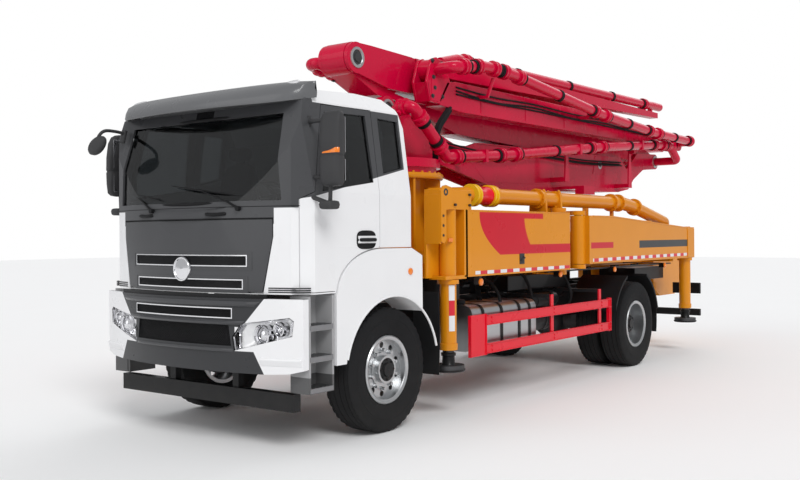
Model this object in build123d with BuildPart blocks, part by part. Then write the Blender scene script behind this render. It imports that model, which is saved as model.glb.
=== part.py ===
from build123d import *
import os

# Concrete pump truck on two axles with a five-section folding boom, in its travel position.
# Millimetres. +Z up, the truck faces -Y, its left (driver's) side is +X. The origin is on the
# ground, under the centre of the truck's bounding box. Stations along the truck ("y") are
# measured rearwards from the front axle and turned into model positions by fy().

# ---------------------------------------------------------------- driving dimensions
FRONT_OVERHANG = 1330.0        # front axle to the bumper's face
WHEELBASE = 5130.0
FIT = 0.05                     # radial clearance of a pin in its eye

# wheels
TYRE_R = 542.0
TYRE_W = 290.0
RIM_R = 296.0
RIM_BORE_R = 262.0
DISC_T = 16.0
FRONT_WHEEL_X = 1030.0         # centre plane of a front wheel
KINGPIN_X = 880.0
TILT_PIVOT = (-1215.0, 720.0)  # the cab tilts forwards about this (y, z)
REAR_OUTER_X = 1090.0          # centre plane of the outer rear wheel
DUAL_PITCH = 335.0
HUB_R = 120.0

# chassis
RAIL_X = 430.0                 # outer face of a frame rail
RAIL_W = 80.0
RAIL_Z0 = 760.0
RAIL_Z1 = 1040.0
RAIL_Y0 = -1040.0
RAIL_Y1 = 7150.0
DECK_Z0 = 1260.0               # underside of the deck that carries the pump and the boom
DECK_Z1 = 1480.0

# cab
CAB_HALF = 1220.0
CAB_ROOF_HALF = 1120.0
CAB_FRONT_Y = -1275.0
CAB_REAR_Y = 270.0
CAB_Z0 = 1245.0
CAB_STEP_Y = -740.0            # the cab's underside steps up over the wheel arch behind this
CAB_STEP_Z = 1600.0
CAB_ROOF_Z = 2905.0
BELT_Z = 2050.0
CAB_WALL = 55.0
SIDE_CUT_X0 = min(CAB_HALF - 175, CAB_ROOF_HALF - 75)     # limits of the cuts for doors and side windows
SIDE_CUT_X1 = CAB_HALF + 80
LINING = 130.0                 # depth of the front wall under the windscreen
DOOR_GAP = 6.0
GLASS_T = 8.0
DOOR_T = 50.0
LID_T = 36.0
LID_GAP = 11.0
DOOR_HINGE = (1214.0, -1054.0) # x and station of a door's hinge line
LID_HINGE = (-1258.0, 1839.0)
GRATE_HINGE = (8385.0, 1438.0)

# boom: pivot stations (y, z), and the slab of x that each section works in
SLEW_Y = 1470.0
RING_R = 600.0
RING_Z0 = 2340.0
RING_Z1 = 2460.0
PIVOT_A = (1200.0, 3000.0)
PIVOT_B = (8300.0, 2860.0)
PIVOT_C = (780.0, 3470.0)
PIVOT_D = (8600.0, 3170.0)
PIVOT_E = (1740.0, 3450.0)
LIFT_FOOT = (1550.0, 2580.0)
LIFT_EYE = (2750.0, 2560.0)
KNEE_FOOT = (6250.0, 2700.0)
KNEE_EYE = (7900.0, 2760.0)
ARM_HALF = 190.0               # half width of arms 1 and 3
CORE_HALF = 145.0              # half width of arm 2, between the plates of arm 1 and arm 3
PLATE_T = 30.0                 # thickness of a fork's plates
SIDE_GAP = 6.0
TURRET_X1 = 245.0              # outer face of a turret cheek
LEFT_X0 = 280.0                # the slab of arms 4 and 5
LEFT_X1 = 480.0
EYE_R = 130.0
PIN_R = 60.0
PIPE_R = 62.0
PIPE_1_X = 560.0               # planes of the delivery pipe's runs
PIPE_2_X = -300.0
PIPE_3_X = -450.0
PIPE_4_X = 700.0
PIPE_5_X = 360.0
OUTLET_Y = 8060.0              # end of the delivery pipe
OUTLET_Z = 3700.0
REAR_REACH = PIVOT_D[0] + EYE_R        # front axle to the boom's rearmost point
FRONT_AXLE_Y = FRONT_OVERHANG - (FRONT_OVERHANG + REAR_REACH) / 2

# outriggers
LEG_X = 1150.0
FRONT_LEG_Y = 945.0
REAR_LEG_Y = 7030.0
FRONT_HINGE_Y = 3270.0
REAR_HINGE_Y = 3760.0
ARM_X0 = 1060.0
ARM_X1 = 1240.0
LEG_TUBE_R = 80.0
LEG_ROD_R = 55.0
LEG_TUBE_Z0 = 620.0
PAD_R = 150.0
PAD_Z0 = 420.0


def fy(y):
    """Model position of the station y, measured rearwards from the front axle."""
    return FRONT_AXLE_Y + y


def span(a, b):
    return (a + b) / 2, abs(b - a)


def block(x0, x1, y0, y1, z0, z1, mode=Mode.ADD):
    """A box between two corners; y is a station."""
    (cx, lx), (cy, ly), (cz, lz) = span(x0, x1), span(y0, y1), span(z0, z1)
    with Locations((cx, fy(cy), cz)):
        Box(lx, ly, lz, mode=mode)


def rod_x(x0, x1, y, z, r, mode=Mode.ADD):
    """A round bar along X."""
    cx, lx = span(x0, x1)
    with Locations(Location((cx, fy(y), z), (0, 90, 0))):
        Cylinder(r, lx, mode=mode)


def rod_y(x, y0, y1, z, r, mode=Mode.ADD):
    """A round bar along Y."""
    cy, ly = span(y0, y1)
    with Locations(Location((x, fy(cy), z), (90, 0, 0))):
        Cylinder(r, ly, mode=mode)


def rod_z(x, y, z0, z1, r, mode=Mode.ADD):
    """A round bar along Z."""
    cz, lz = span(z0, z1)
    with Locations((x, fy(y), cz)):
        Cylinder(r, lz, mode=mode)


def bar(p, q, r, mode=Mode.ADD):
    """A round bar from p to q, each (x, station, z)."""
    a, b = Vector(p[0], fy(p[1]), p[2]), Vector(q[0], fy(q[1]), q[2])
    with BuildSketch(Plane(origin=a, z_dir=b - a)) as section:
        Circle(r)
    extrude(section.sketch, amount=(b - a).length, mode=mode)


def side_plate(points, x0, x1, mode=Mode.ADD, grow=0.0):
    """An outline of (station, z) points, pushed out by grow and extruded from x0 to x1."""
    with BuildSketch(Plane.YZ.offset(min(x0, x1))) as outline:
        with BuildLine():
            Polyline(*[(fy(y), z) for y, z in points], close=True)
        make_face()
        if grow:
            offset(amount=grow, kind=Kind.INTERSECTION)
    extrude(outline.sketch, amount=abs(x1 - x0), mode=mode)


def front_plate(points, y0, y1, mode=Mode.ADD):
    """An outline of (x, z) points, extruded between two stations."""
    with BuildSketch(Plane.XZ.offset(-fy(max(y0, y1)))) as outline:
        with BuildLine():
            Polyline(*points, close=True)
        make_face()
    extrude(outline.sketch, amount=abs(y1 - y0), mode=mode)


def save(part, name):
    part.label = name
    export_step(part, f"parts/{name}.step")


os.makedirs("parts", exist_ok=True)
SIDES = (("left", 1), ("right", -1))

# ---------------------------------------------------------------- wheels
# Tyre section, (share of the half width, radius): beads, sidewall, shoulder and crown.
TYRE_SECTION = [(0.72, RIM_R + 2), (0.93, 360), (1.0, 420), (0.97, 490), (0.86, 530), (0.72, TYRE_R)]
GROOVE_X = (0.2, 0.62)         # tread grooves, in shares of the half width
GROOVE_W = 12.0
GROOVE_DEEP = 14.0


def tyre(x, y):
    """A tyre about the X axis through (x, station y), made inside the open part."""
    half = TYRE_W / 2
    outer = [(x + s * half, r) for s, r in TYRE_SECTION]
    inner = [(x - s * half, r) for s, r in reversed(TYRE_SECTION)]
    with BuildSketch(Plane.XZ.offset(-fy(y))) as section:
        with BuildLine():
            Polyline(*[(px, TYRE_R + r) for px, r in outer + inner], close=True)
        make_face()
        for share in GROOVE_X:
            for side in (-1, 1):
                with Locations((x + side * share * half, 2 * TYRE_R)):
                    Rectangle(GROOVE_W, 2 * GROOVE_DEEP, mode=Mode.SUBTRACT)
    revolve(section.sketch, axis=Axis((0, fy(y), TYRE_R), (1, 0, 0)))


def rim(x, y, out, dish, hub):
    """A rim barrel, disc, hand holes and hub; out is +1 or -1, dish how far out the disc stands."""
    half = TYRE_W / 2 - 16
    rod_x(x - half, x + half, y, TYRE_R, RIM_R)
    rod_x(x - half, x + half, y, TYRE_R, RIM_BORE_R, mode=Mode.SUBTRACT)
    disc = x + out * dish
    rod_x(disc - out * DISC_T, disc, y, TYRE_R, RIM_BORE_R + 4)
    with Locations(Location((disc - out * DISC_T / 2, fy(y), TYRE_R), (0, 90, 0))):
        with PolarLocations(212, 10):
            Cylinder(26, 3 * DISC_T, mode=Mode.SUBTRACT)
    if hub:
        rod_x(disc - out * DISC_T, disc + out * hub, y, TYRE_R, HUB_R)


for side, s in SIDES:
    wx = s * FRONT_WHEEL_X
    with BuildPart() as front_tyre:
        tyre(wx, 0)
    save(front_tyre.part, f"front_{side}_tyre")
    with BuildPart() as front_rim:
        rim(wx, 0, s, 62, 62)
    save(front_rim.part, f"front_{side}_rim")
    outer_x, inner_x = s * REAR_OUTER_X, s * (REAR_OUTER_X - DUAL_PITCH)
    with BuildPart() as rear_tyres:
        tyre(outer_x, WHEELBASE)
        tyre(inner_x, WHEELBASE)
    save(rear_tyres.part, f"rear_{side}_tyres")
    with BuildPart() as rear_rims:
        rim(outer_x, WHEELBASE, s, -100, 90)
        rim(inner_x, WHEELBASE, s, 100, 0)
        rod_x(outer_x - s * 117, inner_x + s * 84, WHEELBASE, TYRE_R, 190)
    save(rear_rims.part, f"rear_{side}_rims")

# ---------------------------------------------------------------- axles and knuckles
KINGPIN_R = 40.0
YOKE_GAP = 6.0
AXLE_EYE_Z0 = TYRE_R - 46
AXLE_EYE_Z1 = TYRE_R + 42
YOKE_T = 50.0
for side, s in SIDES:
    with BuildPart() as knuckle:
        rod_z(s * KINGPIN_X, 0, AXLE_EYE_Z0 - YOKE_GAP, AXLE_EYE_Z1 + YOKE_GAP, KINGPIN_R)
        for z in (AXLE_EYE_Z0 - YOKE_GAP - YOKE_T, AXLE_EYE_Z1 + YOKE_GAP):
            block(s * (KINGPIN_X - 45), s * (KINGPIN_X + 110), -46, 46, z, z + YOKE_T)
        block(s * (KINGPIN_X + 72), s * (KINGPIN_X + 110), -46, 46, AXLE_EYE_Z0, AXLE_EYE_Z1 + YOKE_GAP)
        rod_x(s * (KINGPIN_X + 72), s * (FRONT_WHEEL_X + 40), 0, TYRE_R, 60)
        rod_x(s * (KINGPIN_X + 75), s * (KINGPIN_X + 130), 0, TYRE_R, 200)
    save(knuckle.part, f"{side}_knuckle")

REAR_TUBE_END = 832.0
with BuildPart() as axles:
    block(-800, 800, -55, 55, TYRE_R - 66, TYRE_R + 40)
    for s in (-1, 1):
        block(s * 800, s * KINGPIN_X, -50, 50, AXLE_EYE_Z0, AXLE_EYE_Z1)
        rod_z(s * KINGPIN_X, 0, AXLE_EYE_Z0, AXLE_EYE_Z1, 60)
        rod_z(s * KINGPIN_X, 0, AXLE_EYE_Z0 - 1, AXLE_EYE_Z1 + 1, KINGPIN_R + FIT, mode=Mode.SUBTRACT)
        rod_x(s * 640, s * (REAR_TUBE_END - 8), WHEELBASE, TYRE_R, 190)
    for s in (-1, 1):
        block(s * 345, s * 435, -820, 700, TYRE_R + 40, TYRE_R + 110)
        block(s * 345, s * 435, -110, 110, TYRE_R + 110, RAIL_Z0)
    rod_x(-REAR_TUBE_END, REAR_TUBE_END, WHEELBASE, TYRE_R, 70)
    rod_x(-540, 540, WHEELBASE, TYRE_R, 110)
    with Locations((0, fy(WHEELBASE), TYRE_R)):
        Sphere(250)
    rod_y(0, WHEELBASE - 460, WHEELBASE, TYRE_R + 20, 75)
    for s in (-1, 1):
        block(s * 345, s * 435, WHEELBASE - 760, WHEELBASE + 760, TYRE_R + 100, TYRE_R + 170)
        block(s * 345, s * 435, WHEELBASE - 110, WHEELBASE + 110, TYRE_R, TYRE_R + 170)
save(axles.part, "axles")

# ---------------------------------------------------------------- chassis
CROSS_Y = (-700, 1300, 2600, 3900, 6300, 7090)     # stations of the cross members
with BuildPart() as chassis_frame:
    for s in (-1, 1):
        block(s * (RAIL_X - RAIL_W), s * RAIL_X, RAIL_Y0, RAIL_Y1, RAIL_Z0, RAIL_Z1)
    for y in CROSS_Y:
        block(-RAIL_X + RAIL_W, RAIL_X - RAIL_W, y - 40, y + 40, RAIL_Z0 + 30, RAIL_Z1 - 30)
    for y in (1300, 2600, 3900, 6300, 7000):
        for s in (-1, 1):
            block(s * (RAIL_X - RAIL_W), s * RAIL_X, y - 60, y + 60, RAIL_Z1, DECK_Z0)
    for y, z in ((-560, TYRE_R + 110), (560, TYRE_R + 110), (WHEELBASE - 700, TYRE_R + 170),
                 (WHEELBASE + 700, TYRE_R + 170)):
        for s in (-1, 1):
            block(s * (RAIL_X - RAIL_W), s * RAIL_X, y - 50, y + 50, z, RAIL_Z0)
    # Brackets and pins that the cab tilts on.
    for s in (-1, 1):
        side_plate([(-1250, 690), (-1250, 750), (RAIL_Y0, 900), (RAIL_Y0, 760)], s * 346, s * 380)
        block(s * 346, s * 380, RAIL_Y0, RAIL_Y0 + 40, 760, 900)
        rod_x(s * 296, s * 380, *TILT_PIVOT, 25)
    # Front underrun bar on its two brackets.
    block(-1070, 1070, -1080, -1000, 320, 460)
    for s in (-1, 1):
        block(s * 360, s * RAIL_X, -1060, -1000, 460, RAIL_Z0 + 60)
save(chassis_frame.part, "chassis_frame")

with BuildPart() as engine_block:
    block(-330, 330, -640, 590, 800, 1480)
save(engine_block.part, "engine_block")

BUMPER_Z0 = 620.0
BUMPER_Z1 = 1215.0
BUMPER_T = 45.0
BUMPER_CORNER_Y = -1120.0
LAMP_X0 = 700.0
LAMP_X1 = 1190.0
LAMP_Z0 = 830.0
LAMP_Z1 = 1080.0
MESH_X = 640.0


def bumper_form(inset, z0, z1, mode=Mode.ADD):
    """The bumper's bowed plan, from its face back to the wheel arch, drawn in by inset."""
    half = CAB_HALF - inset
    with BuildSketch(Plane.XY.offset(z0)) as plan:
        with BuildLine():
            ThreePointArc((-half, fy(BUMPER_CORNER_Y + inset)), (0, fy(-FRONT_OVERHANG + inset)),
                          (half, fy(BUMPER_CORNER_Y + inset)))
            Polyline((half, fy(BUMPER_CORNER_Y + inset)), (half, fy(-760)), (-half, fy(-760)),
                     (-half, fy(BUMPER_CORNER_Y + inset)))
        make_face()
    extrude(plan.sketch, amount=z1 - z0, mode=mode)


with BuildPart() as front_bumper:
    bumper_form(0, BUMPER_Z0, BUMPER_Z1)
    bumper_form(BUMPER_T, BUMPER_Z0 - 1, BUMPER_Z1 + 1, mode=Mode.SUBTRACT)
    block(-CAB_HALF - 5, CAB_HALF + 5, -1060, -700, BUMPER_Z0 - 1, BUMPER_Z1 + 1, mode=Mode.SUBTRACT)
    block(-MESH_X, MESH_X, -1400, -1000, 830, 1000, mode=Mode.SUBTRACT)
    block(-600, 600, -1400, -1000, 1050, 1135, mode=Mode.SUBTRACT)
    for s in (-1, 1):
        block(s * LAMP_X0, s * LAMP_X1, -1400, -1061, LAMP_Z0, LAMP_Z1, mode=Mode.SUBTRACT)
        block(s * 385, s * RAIL_X, -1288, -1060, 700, 790)
save(front_bumper.part, "front_bumper")

with BuildPart() as bumper_grille:
    for z0, z1 in ((830, 1000), (1050, 1135)):
        block(-(MESH_X if z0 < 1000 else 600), (MESH_X if z0 < 1000 else 600), -1400, -1000, z0, z1)
    bumper_form(14, 800, 1180, mode=Mode.INTERSECT)
    bumper_form(32, 790, 1190, mode=Mode.SUBTRACT)
save(bumper_grille.part, "bumper_grille")

with BuildPart() as headlamps:
    for s in (-1, 1):
        block(s * LAMP_X0, s * LAMP_X1, -1400, -1061, LAMP_Z0, LAMP_Z1)
    bumper_form(4, LAMP_Z0, LAMP_Z1, mode=Mode.INTERSECT)
    bumper_form(80, LAMP_Z0 - 1, LAMP_Z1 + 1, mode=Mode.SUBTRACT)
save(headlamps.part, "headlamps")

STEP_Z = (470, 715, 960)       # undersides of the entry steps
STEP_X0 = CAB_HALF - 180
STEP_X1 = CAB_HALF - 5
with BuildPart() as entry_steps:
    for s in (-1, 1):
        block(s * (STEP_X0 - 30), s * STEP_X0, -1050, -765, STEP_Z[0], 1230)
        for z in STEP_Z:
            block(s * STEP_X0, s * STEP_X1, -1050, -765, z, z + 40)
        block(s * STEP_X0, s * STEP_X1, -1055, -1035, STEP_Z[0], 1230)
        block(s * STEP_X0, s * STEP_X1, -785, -765, STEP_Z[0], 1230)
        block(s * RAIL_X, s * (STEP_X0 - 30), -960, -900, 880, 960)
save(entry_steps.part, "entry_steps")

# Front wheel arches: a band over the tyre that fills in up to the cab's underside.
ARCH_R = 640.0
FENDER_X0 = CAB_HALF - 320
FENDER_X1 = CAB_HALF + 15
with BuildPart() as fenders:
    for s in (-1, 1):
        side_plate([(-748, 664), (-748, 1225), (-728, 1225), (-728, 1592), (260, 1592), (420, 1523),
                    (420, 1237), (560, 700), (330, 542), (-400, 542)], s * FENDER_X0, s * FENDER_X1)
        rod_x(s * (FENDER_X0 - 5), s * (FENDER_X1 + 5), 0, TYRE_R, ARCH_R, mode=Mode.SUBTRACT)
        block(s * (FENDER_X0 - 5), s * (FENDER_X1 + 5), -800, 800, 500, 664, mode=Mode.SUBTRACT)
        block(s * (FENDER_X0 - 5), s * (FENDER_X1 + 5), 425, 800, 500, 1237, mode=Mode.SUBTRACT)
        block(s * (RAIL_X - 40), s * FENDER_X0, 330, 390, 1140, 1180)
        block(s * (RAIL_X - 40), s * RAIL_X, 330, 390, RAIL_Z1, 1140)
        block(s * RAIL_X, s * FENDER_X0, -748, -700, 985, 1025)
save(fenders.part, "fenders")

with BuildPart() as rear_mudguards:
    for s in (-1, 1):
        rod_x(s * 620, s * 1240, WHEELBASE, TYRE_R, 700)
        rod_x(s * 615, s * 1245, WHEELBASE, TYRE_R, 670, mode=Mode.SUBTRACT)
        block(s * 600, s * 1250, WHEELBASE - 900, WHEELBASE - 640, -200, 900, mode=Mode.SUBTRACT)
        block(s * 600, s * 1250, WHEELBASE - 900, WHEELBASE + 900, -200, 700, mode=Mode.SUBTRACT)
        block(s * 600, s * 1250, WHEELBASE - 300, WHEELBASE + 300, 1100, 1300, mode=Mode.SUBTRACT)
        block(s * 600, s * 1250, WHEELBASE - 900, WHEELBASE + 900, 1200, 1300, mode=Mode.SUBTRACT)
        for y in (WHEELBASE - 560, WHEELBASE + 520):
            block(s * RAIL_X, s * 640, y, y + 50, 970, 1010)
save(rear_mudguards.part, "rear_mudguards")

with BuildPart() as fuel_tank:
    block(560, 1110, 1420, 2700, 540, 1000)
    fillet(fuel_tank.edges().filter_by(Axis.Y), 90)
    for y in (1700, 2420):
        block(RAIL_X, 600, y - 40, y + 40, 790, 850)
save(fuel_tank.part, "fuel_tank")

with BuildPart() as right_side_boxes:
    block(-1110, -560, 1300, 1900, 560, 980)
    rod_y(-860, 2000, 3000, 790, 150)
    rod_y(-860, 3080, 3980, 790, 150)
    for y in (1500, 2450, 3500):
        block(-700, -RAIL_X, y - 40, y + 40, 790, 850)
save(right_side_boxes.part, "right_side_boxes")

GUARD_REAR_Y = WHEELBASE - 780
with BuildPart() as side_guards:
    for s in (-1, 1):
        block(s * 1200, s * 1225, 1210, 1510, 518, 922)
        block(s * 1205, s * 1230, 1510, GUARD_REAR_Y, 530, 630)
        block(s * 1205, s * 1230, 1510, GUARD_REAR_Y, 810, 910)
        block(s * 1200, s * 1230, GUARD_REAR_Y - 60, GUARD_REAR_Y, 518, 922)
        for y in (2900, GUARD_REAR_Y - 250):
            block(s * 1185, s * 1205, y - 30, y + 30, 530, 1000)
            block(s * RAIL_X, s * 1205, y - 30, y + 30, 1000, 1038)
        block(s * 1110, s * 1200, 1440, 1500, 700, 760)
save(side_guards.part, "side_guards")

# ---------------------------------------------------------------- deck, pedestal and pump
FRONT_ARM_Z0 = 1300.0
FRONT_ARM_Z1 = 1945.0
REAR_ARM_Z0 = 1350.0
HINGE_PIN_R = 45.0
HINGE_EYE_R = 90.0
HINGE_LUG_T = 50.0
HINGE_X = 1090.0
PUMP_Y0 = 3200.0
PUMP_Y1 = 7080.0
with BuildPart() as deck_frame:
    for s in (-1, 1):
        block(s * 350, s * 450, 600, 7150, DECK_Z0, DECK_Z1)
    for y in (700, 2500, 3560, 4800, 5900, 7000):
        block(-350, 350, y - 60, y + 60, DECK_Z0 + 20, DECK_Z1 - 20)
    for s in (-1, 1):
        block(s * 450, s * 1030, 660, 900, 1300, 1440)
        block(s * 450, s * 1040, REAR_HINGE_Y - 330, REAR_HINGE_Y - 190, 1300, 1440)
        block(s * 450, s * 1040, 6740, 6860, 1300, 1340)
    # Walkways beside the pump.
    for s in (-1, 1):
        block(s * 450, s * 1040, 4300, 6100, DECK_Z1 + 380, DECK_Z1 + 400)
        for y in (4400, 5200, 6000):
            block(s * 450, s * 500, y, y + 50, DECK_Z1 - 60, DECK_Z1 + 380)
    # The boom's rest.
    block(430, 570, 5060, 5260, DECK_Z1 + 400, DECK_Z1 + 420)
    block(470, 530, 5130, 5190, DECK_Z1 + 420, 2160)
    block(430, 570, 5000, 5320, 2160, 2200)
    # Posts and hinge pins of the four outriggers.
    for s in (-1, 1):
        for y, z0, z1 in ((FRONT_HINGE_Y, FRONT_ARM_Z0, FRONT_ARM_Z1), (REAR_HINGE_Y, REAR_ARM_Z0, 1920)):
            rod_z(s * HINGE_X, y, z0 - HINGE_LUG_T - 6, z1 + HINGE_LUG_T + 6, HINGE_PIN_R)
            for low in (z0 - HINGE_LUG_T - 6, z1 + 6):
                rod_z(s * HINGE_X, y, low, low + HINGE_LUG_T, HINGE_EYE_R)
                block(s * 820, s * HINGE_X, y - 60, y + 60, low, low + HINGE_LUG_T)
            block(s * 800, s * 860, y - 90, y + 90, z0 - HINGE_LUG_T - 6, z1 + HINGE_LUG_T + 6)
            block(s * 450, s * 800, y - 60, y + 60, 1300, 1440)
save(deck_frame.part, "deck_frame")

with BuildPart() as slew_pedestal:
    block(-450, 450, SLEW_Y - 620, SLEW_Y + 620, DECK_Z1, DECK_Z1 + 60)
    rod_z(0, SLEW_Y, DECK_Z1 + 60, RING_Z0 - 60, 430)
    rod_z(0, SLEW_Y, RING_Z0 - 60, RING_Z0, RING_R)
    for turn in range(8):
        with Locations(Location((0, fy(SLEW_Y), 0), (0, 0, 22.5 + 45 * turn))):
            with Locations((500, 0, (DECK_Z1 + RING_Z0) / 2)):
                Box(180, 24, RING_Z0 - DECK_Z1 - 100)
save(slew_pedestal.part, "slew_pedestal")

with BuildPart() as pump_cylinders:
    for s in (-1, 1):
        rod_y(s * 150, PUMP_Y0, PUMP_Y1, DECK_Z1 + 150, 110)
        block(s * 150 - 130, s * 150 + 130, 4780, 5060, DECK_Z1 + 10, DECK_Z1 + 290)
    block(-300, 300, 3560 - 40, 3560 + 40, DECK_Z1, DECK_Z1 + 60)
    block(-300, 300, 5900 - 40, 5900 + 40, DECK_Z1, DECK_Z1 + 60)
save(pump_cylinders.part, "pump_cylinders")

HOPPER_Z0 = 760.0
HOPPER_Z1 = 1420.0
HOPPER_WALL = 12.0
with BuildPart() as hopper:
    side_plate([(7160, 900), (7400, HOPPER_Z0), (8000, HOPPER_Z0), (8420, 1150), (8420, HOPPER_Z1),
                (7160, HOPPER_Z1)], -620, 620)
    side_plate([(7160 + HOPPER_WALL, 910), (7405, HOPPER_Z0 + HOPPER_WALL), (7995, HOPPER_Z0 + HOPPER_WALL),
                (8420 - HOPPER_WALL, 1156), (8420 - HOPPER_WALL, HOPPER_Z1 + 1),
                (7160 + HOPPER_WALL, HOPPER_Z1 + 1)], -620 + HOPPER_WALL, 620 - HOPPER_WALL,
               mode=Mode.SUBTRACT)
    for s in (-1, 1):
        block(s * 350, s * 430, RAIL_Y1, 7172, 900, RAIL_Z1)
save(hopper.part, "hopper")

with BuildPart() as hopper_grate:
    block(-600, 600, 7180, GRATE_HINGE[0] - 4, HOPPER_Z1 + 6, HOPPER_Z1 + 30)
    for k in range(7):
        block(-560, 560, 7230 + 165 * k, 7350 + 165 * k, HOPPER_Z1, HOPPER_Z1 + 40, mode=Mode.SUBTRACT)
    rod_x(-600, 600, *GRATE_HINGE, 12)
save(hopper_grate.part, "hopper_grate")

with BuildPart() as rear_lamps:
    block(-1180, 1180, 7560, 7600, 470, 570)
    for s in (-1, 1):
        block(s * RAIL_X, s * 480, 7000, 7100, 660, 860)
        block(s * 440, s * 480, 7100, 7560, 660, 740)
        block(s * 440, s * 480, 7560, 7600, 570, 740)
        block(s * 760, s * 1180, 7560, 7600, 800, 960)
        block(s * 900, s * 940, 7560, 7600, 570, 800)
save(rear_lamps.part, "rear_lamps")

# Delivery pipe on the deck: from the pump's outlet forwards to the pedestal.
DECK_PIPE_R = 84.0
DECK_PIPE_Z = 2105.0


def pipe(points, r, bend):
    """A round pipe through (x, station, z) points, with arcs of radius bend at its corners."""
    places = [(x, fy(y), z) for x, y, z in points]
    with BuildLine() as route:
        if len(places) > 2:
            FilletPolyline(*places, radius=bend)
        else:
            Line(*places)
    start = Vector(*places[0])
    with BuildSketch(Plane(origin=start, z_dir=Vector(*places[1]) - start)) as section:
        Circle(r)
    sweep(section.sketch, path=route.wires()[0])


with BuildPart() as deck_pipe:
    pipe([(700, 6980, 1600), (950, 6760, 1860), (950, 5700, 2060), (950, 5300, DECK_PIPE_Z),
          (950, 1640, DECK_PIPE_Z), (560, 1470, DECK_PIPE_Z)], DECK_PIPE_R, 120)
    for y in (3100, 3400, 5000):
        block(900, 1000, y - 30, y + 30, DECK_PIPE_Z - 105, DECK_PIPE_Z + 95)
    for y in (3100, 5000):
        block(930, 970, y - 20, y + 20, DECK_Z1 + 400 if y > 4300 else 1440, DECK_PIPE_Z - 100)
    block(450, 970, 3080, 3120, 1400, 1440)
save(deck_pipe.part, "deck_pipe")


# ---------------------------------------------------------------- outriggers
# A front pair whose arms swing about a post far back and reach forwards to the legs, and a
# rear pair that reaches rearwards. Each arm carries a vertical leg tube with a sliding foot.
for side, s in SIDES:
    with BuildPart() as front_arm:
        side_plate([(1157, FRONT_ARM_Z0), (FRONT_HINGE_Y, FRONT_ARM_Z0), (FRONT_HINGE_Y, FRONT_ARM_Z1),
                    (1157, FRONT_ARM_Z1)], s * ARM_X0, s * ARM_X1)
        block(s * ARM_X0, s * ARM_X1, 690, 1157, 1320, 2110)
        rod_z(s * LEG_X, FRONT_LEG_Y, LEG_TUBE_Z0, 2150, LEG_TUBE_R)
        rod_z(s * LEG_X, FRONT_LEG_Y, LEG_TUBE_Z0 - 1, 2120, LEG_ROD_R + FIT, mode=Mode.SUBTRACT)
        rod_z(s * HINGE_X, FRONT_HINGE_Y, FRONT_ARM_Z0, FRONT_ARM_Z1, HINGE_EYE_R)
        rod_z(s * HINGE_X, FRONT_HINGE_Y, FRONT_ARM_Z0 - 1, FRONT_ARM_Z1 + 1, HINGE_PIN_R + FIT,
              mode=Mode.SUBTRACT)
    save(front_arm.part, f"front_{side}_outrigger")
    with BuildPart() as rear_arm:
        side_plate([(REAR_HINGE_Y, REAR_ARM_Z0), (7150, REAR_ARM_Z0), (7150, 1760), (4400, 1920),
                    (REAR_HINGE_Y, 1920)], s * ARM_X0, s * ARM_X1)
        rod_z(s * LEG_X, REAR_LEG_Y, LEG_TUBE_Z0, 1800, LEG_TUBE_R)
        rod_z(s * LEG_X, REAR_LEG_Y, LEG_TUBE_Z0 - 1, 1760, LEG_ROD_R + FIT, mode=Mode.SUBTRACT)
        rod_z(s * HINGE_X, REAR_HINGE_Y, REAR_ARM_Z0, 1920, HINGE_EYE_R)
        rod_z(s * HINGE_X, REAR_HINGE_Y, REAR_ARM_Z0 - 1, 1921, HINGE_PIN_R + FIT, mode=Mode.SUBTRACT)
    save(rear_arm.part, f"rear_{side}_outrigger")
    for name, y, top in (("front", FRONT_LEG_Y, 2000), ("rear", REAR_LEG_Y, 1700)):
        with BuildPart() as foot:
            rod_z(s * LEG_X, y, PAD_Z0 + 60, top, LEG_ROD_R)
            rod_z(s * LEG_X, y, PAD_Z0, PAD_Z0 + 60, PAD_R)
        save(foot.part, f"{name}_{side}_jack")


# ---------------------------------------------------------------- boom
A, B, C, D, E = PIVOT_A, PIVOT_B, PIVOT_C, PIVOT_D, PIVOT_E
FORK_IN = CORE_HALF + SIDE_GAP         # inner face of the plates of arms 1 and 3
TURRET_X0 = ARM_HALF + SIDE_GAP        # inner face of a turret cheek
LEFT_FORK_IN = LEFT_X0 + PLATE_T
EYE_SIDE_GAP = 4.0


def eye(x0, x1, pivot, r):
    """A boss about a pivot, from x0 to x1."""
    rod_x(x0, x1, pivot[0], pivot[1], r)


def bore(x0, x1, pivot, r):
    """A pin's hole about a pivot, run a little past both faces."""
    rod_x(min(x0, x1) - 1, max(x0, x1) + 1, pivot[0], pivot[1], r, mode=Mode.SUBTRACT)


TURRET_PLATE_Z1 = 2490.0
with BuildPart() as turret:
    rod_z(0, SLEW_Y, RING_Z1 - 60, TURRET_PLATE_Z1, RING_R - 20)
    rod_z(0, SLEW_Y, RING_Z0 + 7, RING_Z1 - 60, RING_R - 60)
    for s in (-1, 1):
        side_plate([(960, TURRET_PLATE_Z1), (1950, TURRET_PLATE_Z1), (1900, 2560), (1330, 3010),
                    (A[0], A[1]),
                    (1080, 3000)], s * TURRET_X0, s * TURRET_X1)
        eye(s * TURRET_X0, s * TURRET_X1, A, EYE_R)
        side_plate([(1470, TURRET_PLATE_Z1), (1630, TURRET_PLATE_Z1), (1600, 2580), (1500, 2580)],
                   s * 62, s * 92)
        rod_x(s * 62, s * 92, *LIFT_FOOT, 60)
    block(-TURRET_X0, TURRET_X0, 985, 1015, TURRET_PLATE_Z1, 2700)
    eye(-TURRET_X1, TURRET_X1, A, PIN_R)
    rod_x(-92, 92, *LIFT_FOOT, 30)
    pipe([(330, A[0], TURRET_PLATE_Z1 - 1), (330, A[0], A[1]), (PIPE_1_X - 80, A[0], A[1])], PIPE_R, 100)
save(turret.part, "turret")

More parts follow.
